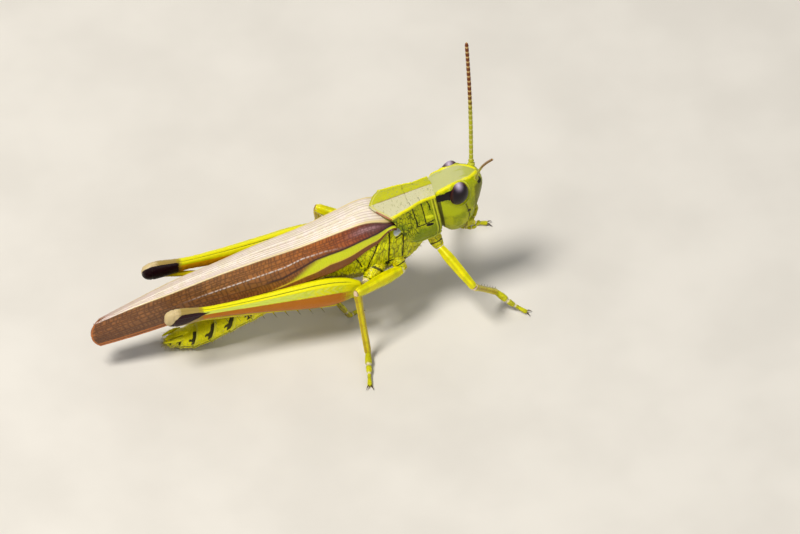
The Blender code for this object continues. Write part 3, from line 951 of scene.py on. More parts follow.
@dataclass
class ShoulderPad(Skin):
    """The pad between the wing roots, which fills the space under the saddle's pointed hind end."""

    across: int = 96
    along: int = 60
    ring: bool = True
    half_width: float = 1.3

    def surface(self, u: Array, v: Array) -> Array:
        """A flat wedge whose hind end follows the saddle's pointed edge."""
        turn = 2 * np.pi * u
        y, rise = oval(turn, self.half_width, 1.0, 0.7)
        x = -5.2 - (2.75 - 0.86 * np.abs(y)) * v
        upper = 9.92 + 0.12 * (x + 5.5) - 0.05 * y**2
        lower = 9.0 - 0.28 * (x + 6.5) - 0.1 * y**2
        slim = np.sqrt(np.clip(1.03 - np.clip((v - 0.86) / 0.14, 0, 1) ** 2, 0, 1))
        return np.stack([x, y, (upper + lower) / 2 + (upper - lower) / 2 * slim * rise], axis=-1)

    def relief(self, at: Array, u: Array, v: Array) -> tuple[Array, Masks]:
        """Soft creases across a brown-olive skin."""
        masks = {"under": np.ones(u.shape), "crease": step(0.12, 0.02, net(at, 0.24, 81))}
        return 0.02 * grain(at, 0.2, 82) * step(1.0, 0.9, v), masks


@dataclass
class HindBody(Skin):
    """The abdomen, drooping to the floor: overlapping rings, side pleats and black side marks."""

    across: int = 200
    along: int = 420
    ring: bool = True
    rings: int = 10
    shape: Table = Table(
        (  # x, middle height, half height, half width
            (-10.75, 6.0, 1.72, 1.5),
            (-12.5, 4.95, 1.58, 1.46),
            (-14.3, 3.95, 1.42, 1.36),
            (-16.0, 3.05, 1.33, 1.28),
            (-17.7, 2.25, 1.22, 1.2),
            (-19.4, 1.42, 1.12, 1.08),
            (-20.9, 0.86, 0.9, 0.88),
            (-22.0, 0.7, 0.54, 0.52),
            (-22.7, 0.68, 0.3, 0.3),
            (-22.95, 0.66, 0.1, 0.12),
        )
    )

    def surface(self, u: Array, v: Array) -> Array:
        """The smooth drooping body."""
        x, middle, half_height, half_width = self.shape.at(v)
        y, up = oval(2 * np.pi * u, half_width, half_height, 0.95)
        return np.stack([x + up * 0.35, y, middle + up], axis=-1)

    def relief(self, at: Array, u: Array, v: Array) -> tuple[Array, Masks]:
        """Each ring's raised hind rim, the side pleat and the black marks in front of each ring."""
        turn = 2 * np.pi * u
        low = np.sin(turn)
        side_share = np.abs(np.cos(turn))
        shift = 0.18 * step(-0.2, -0.5, low)
        place = v * self.rings * (1 + 0.06 * v) + shift
        number = np.floor(place)
        part = place - number
        rim = step(0.55, 0.97, part) * step(1.0, 0.985, part)
        pleat = hump(low + 0.36, 0.09)
        height = 0.07 * rim - 0.05 * hump(part, 0.05) - 0.06 * pleat * side_share
        height += 0.02 * grain(at, 0.18, 21) + 0.012 * grain(at, 0.09, 22)
        height *= step(1.0, 0.96, v)
        wave = 0.05 * grain(at, 0.3, 23)
        bar = step(0.27, 0.16, part + wave) * step(-0.15, 0.0, low + wave) * step(0.98, 0.8, low + wave)
        tongue = step(0.5, 0.38, part + wave) * hump(low - 0.32 + wave, 0.12)
        slit = step(0.2, 0.1, part) * step(-0.42, -0.5, low)
        masks = {
            "bar": np.clip(bar + tongue, 0, 1) * step(0.99, 0.94, v),
            "slit": slit * 0.6,
            "pleat": pleat * side_share,
            "rim": rim * step(0.75, 0.95, part),
            "belly": step(-0.4, -0.6, low),
            "tip": step(0.93, 0.98, v),
        }
        return height, masks


@dataclass
class ForeWing(Skin):
    """A folded leathery fore wing: a pale strip over the back, a fold, and a veined side field."""

    side: Side = Side.LEFT
    across: int = 118
    along: int = 780
    wall: float = 0.12
    root: float = -7.0
    tip: float = -28.3
    start: float = -6.35
    slope: float = math.tan(math.radians(17.0))
    strip_share: float = 0.3
    shape: Table = Table(
        (  # fold out, fold drop, margin out, margin drop, lift
            (1.32, 0.2, 1.62, 1.6, 0.0),
            (1.03, 0.19, 1.98, 2.7, 0.0),
            (0.86, 0.19, 1.98, 2.68, 0.06),
            (0.74, 0.2, 1.82, 2.9, 0.38),
            (0.58, 0.17, 1.45, 2.85, 0.54),
            (0.52, 0.14, 1.14, 2.55, 0.64),
            (0.28, 0.1, 0.88, 2.3, 0.62),
            (0.1, 0.08, 0.6, 1.8, 0.45),
        )
    )
    side_veins: tuple[tuple[tuple[float, float], ...], ...] = (  # shares along the wing and down its side
        ((0.0, 0.1), (0.1, 0.14), (0.3, 0.13), (0.6, 0.16), (1.0, 0.2)),
        ((0.0, 0.26), (0.1, 0.29), (0.3, 0.225), (0.6, 0.27), (1.0, 0.34)),
        (
            (0.0, 0.46), (0.067, 0.53), (0.145, 0.45), (0.212, 0.35), (0.29, 0.32), (0.35, 0.38),
            (0.6, 0.4), (0.8, 0.43), (1.0, 0.5),
        ),
        (
            (0.0, 0.5), (0.067, 0.57), (0.12, 0.53), (0.2, 0.49), (0.245, 0.49), (0.29, 0.56),
            (0.36, 0.66), (0.6, 0.6), (1.0, 0.66),
        ),
        (
            (0.0, 0.8), (0.04, 0.82), (0.122, 0.79), (0.2, 0.74), (0.25, 0.81), (0.31, 0.83),
            (0.4, 0.86), (0.6, 0.78), (1.0, 0.8),
        ),
        ((0.0, 0.97), (0.3, 0.965), (0.5, 0.94), (0.7, 0.9), (1.0, 0.9)),
    )
    strip_veins: tuple[float, ...] = (0.22, 0.42, 0.6, 0.78, 0.9)
    lane_spaces: tuple[float, ...] = (0.21, 0.27, 0.23, 0.3, 0.17, 0.26, 0.2)  # mm between cross veins

    def sizes(self, s: Array) -> list[Array]:
        """The ridge height and the section's sizes at shares along the wing."""
        fold_out, fold_drop, margin_out, margin_drop, lift = self.shape.at(s)
        x = self.root + (self.tip - self.root) * s
        tuck = 0.75 * np.clip((x + 9.2) / 2.2, 0, None) ** 2
        ridge = 9.85 + lift - tuck + (x + 7.94) * self.slope
        margin_drop = margin_drop * (0.3 + 0.7 * step(self.start, -7.9, x))
        fold_out = fold_out - 0.25 * step(-7.3, self.start, x)
        return [x, ridge, fold_out, fold_drop, margin_out, margin_drop]

    def reach(self, u: Array, v: Array) -> Array:
        """The share along the wing of each grid place: from its start under the saddle to its rounded tip."""
        round_tip = 0.068 * (np.abs(u - 0.6) / 0.6) ** 2.2
        first = (self.start - self.root) / (self.tip - self.root)
        return first + (1 - round_tip * step(0.4, 1.0, v) - first) * v

    def surface(self, u: Array, v: Array) -> Array:
        """The smooth wing."""
        s = self.reach(u, v)
        x, ridge, fold_out, fold_drop, margin_out, margin_drop = self.sizes(s)
        overlap = 0.16 if self.side is Side.LEFT else -0.02
        inner = -overlap * step(0.02, 0.2, v)
        d = np.clip(u / self.strip_share, 0, 1)
        a = np.clip((u - self.strip_share) / (1 - self.strip_share), 0, 1)
        out = np.where(a > 0, fold_out + (margin_out - fold_out) * a, inner + (fold_out - inner) * d)
        out = out + 0.05 * np.sin(np.pi * a)
        drop = np.where(a > 0, fold_drop + (margin_drop - fold_drop) * a, fold_drop * d**1.8)
        at = np.stack([x, self.side.value * out, ridge - drop + 0.03 * self.side.value], axis=-1)
        for _ in range(5):
            at[:, 1:-1] = (at[:, :-2] + 2 * at[:, 1:-1] + at[:, 2:]) / 4
        return at

    def relief(self, at: Array, u: Array, v: Array) -> tuple[Array, Masks]:
        """Raised long veins and cross veins, the wing's stripes, and a painted sheen and glint."""
        s = self.reach(u, v)
        length = (self.root - self.tip) * s
        a = (u - self.strip_share) / (1 - self.strip_share)
        d = u / self.strip_share
        _, _, fold_out, _, margin_out, margin_drop = self.sizes(s)
        depth = np.hypot(margin_drop, margin_out - fold_out)
        lines = [np.interp(s, *zip(*vein)) for vein in self.side_veins]
        bounds = [np.zeros_like(s), *lines, np.ones_like(s)]
        long_vein = np.minimum.reduce([np.abs(a - line) * depth for line in lines])
        cross = np.full(u.shape, FAR)
        for lane, (upper, lower) in enumerate(zip(bounds, bounds[1:])):
            inside = (a >= upper) & (a < lower)
            part = np.where(inside, (a - upper) / np.maximum(lower - upper, 1e-6), 0.5)
            space = self.lane_spaces[lane] * (1 + 0.25 * s)
            rungs = self.rungs(length + 0.08 * part + 0.03 * np.sin(6 * part + lane), space, lane)
            split = np.abs(part - 0.5 + 0.12 * np.sin(length * 2.3 + lane)) * (lower - upper) * depth
            chance = mixed_bits(np.floor(length / 0.6).astype(np.int64), np.int64(lane), np.int64(3), 1)
            split = np.where(chance > 0.35, split, FAR)
            cross = np.where(inside, np.minimum(rungs, split), cross)
        strip_line = np.full(u.shape, FAR)
        for line in self.strip_veins:
            away = np.abs(d - line - 0.02 * np.sin(length * 0.8 + 9 * line)) * np.maximum(fold_out, 0.1)
            strip_line = np.minimum(strip_line, away)
        strip_rungs = self.rungs(length + 0.2 * d, 0.34, 17)
        side_on = step(-0.005, 0.02, a)
        vein = np.maximum(hump(long_vein, 0.035), 0.75 * hump(cross, 0.026)) * side_on
        strip = np.maximum(hump(strip_line, 0.028), 0.15 * hump(strip_rungs, 0.025)) * (1 - side_on)
        stripe_top, stripe_low = lines[3], lines[4]
        in_stripe = step(-0.015, 0.015, a - stripe_top) * step(0.04, 0.01, a - stripe_low + 0.035)
        in_stripe = in_stripe * step(0.4, 0.3, s + 0.1 * step(0.3, 0.0, a - stripe_top))
        # a raised vein along the third side line; its pale dashed mark is a painted glint
        silver = hump((a - lines[2]) * depth, 0.05) * step(0.12, 0.3, s) * step(0.72, 0.55, s)
        dashes = 0.25 + 0.75 * step(0.03, 0.1, self.rungs(length, 0.33, 2))
        height = 0.028 * vein + 0.02 * strip + 0.03 * hump(a, 0.02) + 0.02 * silver
        height += 0.05 * hump(a - 0.36, 0.2) * hump(s - 0.06, 0.06) + 0.006 * grain(at, 0.3, 31)
        margin = np.minimum((1 - a) * depth, (1 - v) * (self.root - self.tip))
        vein_mark = np.maximum(hump(long_vein, 0.04), 0.95 * hump(cross, 0.036))
        maroon = step(0.2, 0.03, s + 0.25 * np.abs(a - 0.2))
        cells = side_on * step(0.05, 0.12, cross) * step(0.04, 0.1, long_vein)
        margin_mark = np.maximum(hump(margin - 0.05, 0.06), 0.9 * hump((a - lines[5]) * depth, 0.05))
        masks = {
            "along": s,
            "side": side_on,
            "vein": vein_mark * side_on * (1 - 0.65 * in_stripe),
            "strip_line": strip,
            "rim": hump((a + 0.015) * depth, 0.075) * step(0.96, 0.8, s),
            # painted glint: pale dashes along the raised vein
            "silver": silver * dashes,
            "stripe": in_stripe,
            "field": step(-0.02, 0.03, a - stripe_low) * step(0.42, 0.2, s) * side_on,
            "under": hump((a - stripe_top) * depth + 0.07, 0.085) * step(0.45, 0.38, s) * side_on,
            "yellow": hump((a - stripe_low) * depth, 0.05) * step(0.42, 0.36, s) * step(-0.01, 0.03, s),
            # painted highlight: a pink-white sheen near the front of the side field's upper part
            "sheen": hump(a - 0.22 + 0.04 * grain(at, 0.2, 83), 0.09) * hump(s - 0.07, 0.045) * side_on,
            "maroon": maroon * step(0.03, -0.01, a - stripe_top) * side_on,
            "dusk": 1 - step(lines[2] + 0.1, lines[2] - 0.02, a),
            "cells": cells * (0.4 + 0.6 * scattered(length, a)),
            "margin": margin_mark * step(0.45, 0.6, s) * side_on,
            "tip": step(0.93, 1.0, s),
        }
        return height, masks

    def rungs(self, length: Array, space: float | Array, lane: int) -> Array:
        """The distance along the wing to the nearest cross vein of a lane.

        Args:
            length: how far along the wing, in mm.
            space: the mean distance between cross veins.
            lane: the lane's number, which scatters its veins its own way.

        Returns:
            The distances, in mm.
        """
        q = length / space
        nearest = np.full(np.shape(q), FAR)
        for k in (-1, 0, 1, 2):
            i = np.floor(q).astype(np.int64) + k
            spot = i + 0.6 * (mixed_bits(i, np.int64(lane), np.int64(7), 5) - 0.5)
            nearest = np.minimum(nearest, np.abs(q - spot))
        return nearest * space


def scattered(length: Array, a: Array) -> Array:
    """One value from 0 to 1 for each small cell of the wing."""
    along, down = np.floor(length / 0.23), np.floor(a * 8)
    return mixed_bits(along.astype(np.int64), down.astype(np.int64), np.int64(1), 9)


# ---------------------------------------------------------------- limbs

STEEP_UP: Point = (1.0, 0.0, 0.0)  # which way the top of a steep limb piece faces


def between(start: Point, end: Point, share: float) -> Array:
    """The point at a share of the way from start to end."""
    return np.array(start) + (np.array(end) - np.array(start)) * share


def stretch(start: Point, end: Point, sizes: Path, thickness: float = 1.0) -> tuple[Station, ...]:
    """A limb's stations between two points.

    Args:
        start, end: the two points.
        sizes: rows of the share of the way, the half width and the half height.
        thickness: what the half sizes are multiplied by.

    Returns:
        The stations.
    """
    return tuple(
        (*between(start, end, share), wide * thickness, high * thickness) for share, wide, high in sizes
    )


@dataclass
class Tube(Skin):
    """A limb piece round a path, with a smooth change of size along it."""

    stations: tuple[Station, ...] = ()
    up: Point = (0.0, 0.0, 1.0)
    squareness: float = 1.0
    ring: bool = True
    across: int = 40
    along: int = 90
    pointed: float = 0.03  # the share of the length over which each end draws in

    def frame(self, v: Array) -> tuple[Array, Array, Array, Array, Array]:
        """The path at v: its places, the directions to its side and top, and its half sizes.

        Args:
            v: shares along the path.

        Returns:
            Places, side directions, top directions, half widths and half heights.
        """
        x, y, z, wide, high = Table(self.stations).at(v[:, 0])
        path = np.stack([x, y, z], axis=-1)
        ahead = np.gradient(path, axis=0)
        ahead /= np.linalg.norm(ahead, axis=-1, keepdims=True)
        side = np.cross(ahead, np.array(self.up))
        side /= np.linalg.norm(side, axis=-1, keepdims=True)
        rise = np.cross(side, ahead)
        return path, side, rise, wide, high

    def swell(self, v: Array, turn: Array) -> Array:
        """How much thicker than its stations the limb is at each place."""
        return np.ones(turn.shape)

    def surface(self, u: Array, v: Array) -> Array:
        """The smooth limb, drawn in to a point at both ends."""
        path, side, rise, wide, high = self.frame(v)
        turn = 2 * np.pi * u
        over, lift = oval(turn, wide[:, None], high[:, None], self.squareness)
        near_end = np.clip((np.abs(2 * v - 1) - (1 - self.pointed)) / self.pointed, 0, 1)
        fat = self.swell(v, turn) * np.sqrt(np.clip(1 - near_end**2, 0.0004, 1))
        sideways = side[:, None] * (over * fat)[..., None]
        return path[:, None] + sideways + rise[:, None] * (lift * fat)[..., None]


@dataclass
class Feeler(Tube):
    """A feeler: a stout root piece, a knob and a long whip of short rings."""

    rings: int = 24
    across: int = 20
    along: int = 440
    root: Point = (-0.12, 0.5, 10.3)
    bow: Point = (0.0, 0.0, 0.0)
    end: Point = (0.0, 0.0, 0.0)
    thick: float = 0.15

    def __post_init__(self) -> None:
        """Sets the path from the root to the end."""
        start, end, bow = (np.array(point) for point in (self.root, self.end, self.bow))
        rows = []
        for t in np.linspace(0, 1, 12):
            place = start + (end - start) * t + bow * math.sin(math.pi * t)
            rows.append((*place, self.thick * (1 - 0.12 * t), self.thick * (1 - 0.12 * t)))
        self.stations = tuple(rows)

    def swell(self, v: Array, turn: Array) -> Array:
        """The stout root, the knob after it, and a waist between the whip's rings."""
        root = 0.75 * step(0.052, 0.045, v) * step(-0.005, 0.012, v) + 0.35 * hump(v - 0.064, 0.012)
        part = self.part(v)
        waist = 0.17 * (hump(part, 0.1) + hump(part - 1, 0.1)) * step(0.07, 0.085, v)
        return 1 + root - waist - 0.25 * hump(v - 0.05, 0.006) - 0.35 * step(0.97, 1.0, v)

    def part(self, v: Array) -> Array:
        """How far along its own ring each place of the whip lies."""
        place = np.clip(v - 0.08, 0, 1) * self.rings / 0.92
        return place - np.floor(place)

    def relief(self, at: Array, u: Array, v: Array) -> tuple[Array, Masks]:
        """Pale ring joints, the colour change along the whip and the root piece."""
        part = self.part(v)
        joint = (hump(part, 0.16) + hump(part - 1, 0.16)) * step(0.07, 0.085, v)
        return np.zeros(u.shape), {
            "joint": joint,
            "far": step(0.3, 0.75, v),
            "root": step(0.075, 0.05, v),
            "dark": hump(part - 0.5, 0.3) * step(0.2, 0.7, v),
        }


@dataclass
class LegPiece(Tube):
    """A coxa, femur, tibia or tarsus of a walking leg, with rings at its joints."""

    knee_mark: float = 0.0
    root_mark: float = 0.0
    rough: float = 0.0
    grooves: int = 0
    pads: tuple[float, ...] = ()

    def swell(self, v: Array, turn: Array) -> Array:
        """A slight waist in front of a knee, and waists between foot pads."""
        fat = 1 - 0.12 * self.knee_mark * hump(v - 0.86, 0.05)
        for pad in self.pads:
            fat = fat - 0.34 * hump(v - pad, 0.025)
        return fat

    def relief(self, at: Array, u: Array, v: Array) -> tuple[Array, Masks]:
        """Long shallow flutes, the joint rings and a rough grain."""
        turn = 2 * np.pi * u
        flute = np.cos(turn * self.grooves) if self.grooves else np.zeros(u.shape)
        height = 0.012 * flute * step(0.02, 0.12, v) * step(0.98, 0.85, v) + 0.008 * grain(at, 0.12, 41)
        crease = net(at, 0.24, 43) if self.rough else np.ones(u.shape)
        height += self.rough * (0.03 * step(0.0, 0.3, crease) + 0.02 * grain(at, 0.2, 44))
        waist = np.zeros(u.shape)
        for pad in self.pads:
            waist = np.maximum(waist, hump(v - pad, 0.03))
        masks = {
            "knee": self.knee_mark * step(0.9, 0.94, v),
            "knee_pale": self.knee_mark * step(0.955, 0.98, v) + 0.8 * self.rough * step(0.72, 0.8, v),
            "root": self.root_mark * step(0.14, 0.09, v),
            "flute": 0.5 - 0.5 * flute,
            "joint": waist,
            "crease": self.rough * step(0.12, 0.02, crease),
            "edge": self.rough * np.maximum(hump(v - 0.36, 0.035), hump(v - 0.7, 0.02)),
            "end": step(0.9, 0.97, v),
            "under": step(-0.4, -0.8, np.sin(turn)),
        }
        return height, masks


@dataclass
class Thighs(Tube):
    """The club-shaped femur of a jumping leg, with keels, a chevron field and knee lobes."""

    side: Side = Side.LEFT
    across: int = 130
    along: int = 420
    squareness: float = 0.86

    def facing(self, turn: Array) -> Array:
        """The angle above level seen from the leg's outer side, in degrees from -90 to 270."""
        seen = np.degrees(turn)
        if self.side is Side.RIGHT:
            seen = 180 - seen
        return (seen + 90) % 360 - 90

    def relief(self, at: Array, u: Array, v: Array) -> tuple[Array, Masks]:
        """Keels along the top, the faces and the bottom, slanting ribs, and the knee."""
        seen = self.facing(2 * np.pi * u)
        main = step(0.05, 0.12, v) * step(0.88, 0.8, v)
        field_top = 52 - 4 * step(0.3, 0.8, v)
        field_low = 15 + 3 * step(0.3, 0.8, v)
        top_keel = hump(seen - 92, 9)
        upper = hump(seen - 68, 3.4) + hump(seen - 112, 3.4)
        rail = hump(seen - field_top, 4) + hump(seen - field_low, 4)
        low_keel = hump(seen + 78, 10)
        middle = (field_top + field_low) / 2
        half = (field_top - field_low) / 2
        reach = (seen - middle) / half
        chevron = v * 30 + np.abs(reach) * 0.9
        rib = hump(chevron - np.floor(chevron) - 0.5, 0.22) * step(1.0, 0.85, np.abs(reach))
        rib = rib * step(0.1, 0.17, v) * step(0.8, 0.72, v)
        knee = step(0.63, 0.67, v)
        lobe = hump(seen + 20, 40) * step(0.9, 0.93, v) * step(1.0, 0.97, v)
        middle, half = (np.interp(v, (0.57, 0.61, 0.66, 0.72, 0.78, 0.85, 0.9, 1.0), row) for row in (
            (30, 28, 20, 8, -2, -30, -48, -60), (-6, 6, 25, 36, 42, 24, 4, -5)))
        crescent = step(3, -3, np.abs(seen - middle) - half)
        height = main * (0.05 * top_keel - 0.035 * upper + 0.03 * rail + 0.06 * low_keel) + 0.02 * rib
        height = height - 0.03 * hump(v - 0.83, 0.008) + (0.03 * lobe + 0.01 * grain(at, 0.15, 51))
        inner = step(110, 125, seen) * step(268, 250, seen)
        face = step(field_low - 4, field_low + 6, seen) * step(field_top + 2, field_top - 8, seen)
        orange = step(field_low + 3, field_low - 7, seen) * step(-88, -80, seen)
        masks = {
            "line": upper * main,
            "ridge": step(44, 52, seen) * step(150, 132, seen),
            "rail": rail * main,
            "rib": rib,
            "face": face * main * (0.3 + 0.7 * step(0.15, 0.5, v)),
            "orange": orange * step(0.03, 0.2, v) * (1 - knee),
            "under": step(-54, -66, seen) * step(0.04, 0.1, v),
            "inner": step(148, 162, seen) * step(268, 250, seen) * main,
            "ring": step(0.6, 0.65, v) * step(0.84, 0.74, v),
            "knee": knee * (1 - crescent),
            "crescent": crescent,
            "inner_knee": inner * step(0.62, 0.66, v),
            "root": step(0.04, 0.0, v),
        }
        return height, masks


@dataclass
class JumpShin(Tube):
    """The tibia of a jumping leg, folded under its femur."""

    across: int = 28
    along: int = 150

    def relief(self, at: Array, u: Array, v: Array) -> tuple[Array, Masks]:
        """A black end next to the knee, a pale ring after it and a yellow shaft."""
        masks = {"black": step(0.06, 0.03, v), "ring": hump(v - 0.09, 0.03), "dark": step(0.955, 0.985, v)}
        return 0.006 * grain(at, 0.12, 61), masks


@dataclass(frozen=True)
class Thorn:
    """A spike from a root to a tip, round at its root."""

    root: Point
    tip: Point
    radius: float
    sides: int = 7


def spikes(name: str, thorns: list[Thorn], drawing: Drawing, bend: float = 0.0) -> Piece:
    """Makes spikes, spines, claws or bristles as one mesh.

    Args:
        name: the piece's name.
        thorns: the spikes.
        drawing: where the drawing lies in the frame.
        bend: how far the middle of each spike sags, as a share of its length.

    Returns:
        The mesh object, with a "thorn" mask that rises to 1 at each tip.
    """
    points, faces, share = [], [], []
    levels = (0.0, 0.35, 0.7, 1.0) if bend else (0.0, 1.0)
    for thorn in thorns:
        root, tip = np.array(thorn.root), np.array(thorn.tip)
        ahead = tip - root
        long = np.linalg.norm(ahead)
        ahead = ahead / long
        over = np.cross(ahead, (0.3, 0.5, 0.81))
        over /= np.linalg.norm(over)
        lift = np.cross(over, ahead)
        start, n = len(points), thorn.sides
        for level in levels[:-1]:
            sag = np.array([0, 0, 1]) * bend * long * math.sin(math.pi * level)
            middle = root + ahead * long * level - sag
            width = thorn.radius * (1 - level) ** 0.7
            for k in range(n):
                turn = 2 * math.pi * k / n
                points.append(middle + width * (over * math.cos(turn) + lift * math.sin(turn)))
                share.append(level)
        points.append(tip)
        share.append(1.0)
        faces.append(tuple(start + k for k in reversed(range(n))))
        for row in range(len(levels) - 2):
            base = start + row * n
            for k in range(n):
                j = (k + 1) % n
                faces.append((base + k, base + j, base + n + j, base + n + k))
        base = start + (len(levels) - 2) * n
        faces += [(base + k, base + (k + 1) % n, len(points) - 1) for k in range(n)]
    at = np.array(points)
    at[:, 2] = np.maximum(at[:, 2], 0.0)
    mesh = bpy.data.meshes.new(name)
    mesh.from_pydata(drawing.to_frame(at).tolist(), [], faces)
    mesh.attributes.new("thorn", "FLOAT", "POINT").data.foreach_set("value", share)
    made = bpy.data.objects.new(name, mesh)
    bpy.context.scene.collection.objects.link(made)
    pick(made)
    bpy.ops.object.mode_set(mode="EDIT")
    bpy.ops.mesh.select_all(action="SELECT")
    bpy.ops.mesh.normals_make_consistent(inside=False)
    bpy.ops.object.mode_set(mode="OBJECT")
    bpy.ops.object.shade_smooth()
    return made


def join(base: Piece, *extras: Piece) -> Piece:
    """Joins small pieces to the piece they grow from, and gives that piece back."""
    pick(base, *extras)
    bpy.ops.object.join()
    return base


# ---------------------------------------------------------------- finishes of this insect

YELLOW = (234, 226, 4)
BLACK = (24, 18, 20)
BROWN = (92, 52, 30)

HEAD_SHELL = Cuticle(
    "head_shell", (184, 188, 0), (148, 158, 0), (98, 108, 4),
    marks=paint(
        face=(112, 112, 0, 0.9), freckle=(84, 66, 20, 0.7), lobe=(188, 198, 0, 0.9),
        # crown is a painted reflection of the sky on the top of the head
        crown=(186, 186, 128, 0.9), mottle=(166, 172, 44, 0.6), rim=(206, 208, 70, 0.8),
        brow=(*YELLOW, 0.95), jaw=(176, 178, 60, 0.6), seam=(*BROWN, 0.8), socket=(*BLACK, 0.9),
        tear=(44, 30, 26, 0.95), collar=(40, 26, 20, 0.8), band=(*BLACK, 1.0, 0.3, 0.6),
    ),
    fleck_share=0.4, roughness=0.36,
)
SADDLE_SHELL = Cuticle(
    "saddle_shell", (176, 178, 4), (130, 144, 2), (70, 82, 8),
    marks=paint(
        lower=(126, 140, 0, 0.85), crease=(48, 58, 6, 0.8), back=(188, 186, 20, 0.85),
        # the pale grey-cream on the right half of the back is a painted reflection of the sky
        near_back=(200, 194, 160, 0.9), speckle=(138, 138, 92, 0.55), collar_pale=(206, 206, 52, 0.7),
        collar_dark=(66, 60, 22, 0.75), blotch=(214, 218, 26, 0.95), seam=(26, 26, 8, 0.95),
        spot=(*BLACK, 1.0), hem=(202, 208, 84, 0.9), hem_dark=(52, 50, 22, 0.7), keel=(*YELLOW, 0.95),
        middle=(120, 84, 44, 0.7), hind_pale=(206, 196, 92, 0.7), hind=(168, 92, 58, 0.85),
    ),
    fleck_share=0.55, roughness=0.42,
)
TRUNK_SHELL = Cuticle(
    "trunk_shell", (230, 226, 0), (196, 194, 0), (126, 124, 4),
    marks=paint(
        bright=(206, 214, 20, 0.7), crease=(84, 84, 12, 0.65), neck=(188, 132, 98, 0.9),
        under=(118, 104, 44, 0.75), pale=(214, 222, 228, 0.92), seam=(16, 14, 8, 1.0),
    ),
    fleck_share=0.6, roughness=0.4,
)
HIND_SHELL = Cuticle(
    "hind_body_shell", (240, 232, 0), (216, 210, 0), (150, 142, 4),
    marks=paint(
        belly=(192, 186, 60, 0.7), rim=(206, 204, 70, 0.6), pleat=(60, 50, 26, 0.7), slit=(*BROWN, 0.6),
        bar=(*BLACK, 0.95), tip=(206, 206, 60, 0.7),
    ),
    fleck_share=0.45, roughness=0.36,
)
LEG_SHELL = Cuticle(
    "leg_shell", (238, 228, 0), (212, 210, 0), (168, 150, 4),
    marks=paint(
        flute=(176, 150, 22, 0.35), root=(222, 214, 178, 0.85), joint=(208, 196, 170, 0.7),
        knee=(128, 80, 78, 0.85), knee_pale=(226, 206, 170, 0.8), crease=(84, 92, 12, 0.7),
        edge=(28, 24, 12, 0.9), thorn=(60, 36, 24, 1.0),
    ),
    fleck_share=0.3, roughness=0.3, coat=0.3,
)
SHIN_SHELL = Cuticle(
    "shin_shell", (224, 208, 8), (204, 186, 10), (150, 118, 16),
    marks=paint(
        flute=(140, 96, 20, 0.5), root=(236, 206, 190, 0.8), end=(96, 58, 34, 0.7), black=(*BLACK, 1.0),
        ring=(222, 200, 90, 0.9), dark=(70, 44, 26, 0.8), thorn=(*BLACK, 1.0),
    ),
    fleck_share=0.3, roughness=0.3, coat=0.3,
)
FOOT_SHELL = Cuticle(
    "foot_shell", (206, 202, 20), (180, 176, 22), (130, 112, 24),
    marks=paint(
        joint=(218, 206, 176, 0.85), under=(110, 84, 50, 0.6), thorn=(64, 34, 22, 1.0, 0.0, 0.3),
    ),
    fleck_share=0.3, roughness=0.36, coat=0.2,
)
THIGH_SHELL = Cuticle(
    "thigh_shell", (230, 222, 0), (206, 206, 0), (170, 164, 8),
    marks=paint(
        face=(204, 220, 92, 0.85), rib=(216, 216, 100, 0.5), orange=(196, 114, 0, 1.0),
        under=(110, 40, 12, 0.9), inner=(238, 164, 6, 0.9), ridge=(*YELLOW, 0.9),
        line=(104, 104, 10, 0.85), knee=(200, 176, 134, 0.95), ring=(150, 124, 48, 0.8),
        crescent=(46, 20, 26, 1.0), inner_knee=(34, 14, 20, 1.0), root=(120, 90, 40, 0.7),
    ),
    fleck_share=0.25, roughness=0.4, coat=0.06,
)
FEELER_SHELL = Cuticle(
    "feeler_shell", (176, 176, 40), (160, 158, 44), (120, 112, 40),
    marks=paint(
        far=(134, 70, 40, 0.95), dark=(86, 40, 26, 0.7), joint=(206, 188, 120, 0.7),
        root=(190, 190, 60, 0.8),
    ),
    fleck_share=0.2, roughness=0.45, pit_depth=0.004,
)
HAIR_SHELL = Cuticle(
    "bristle_shell", (190, 176, 130), (176, 160, 110), (150, 130, 90),
    fleck_share=0.1, pit_depth=0.0,
)


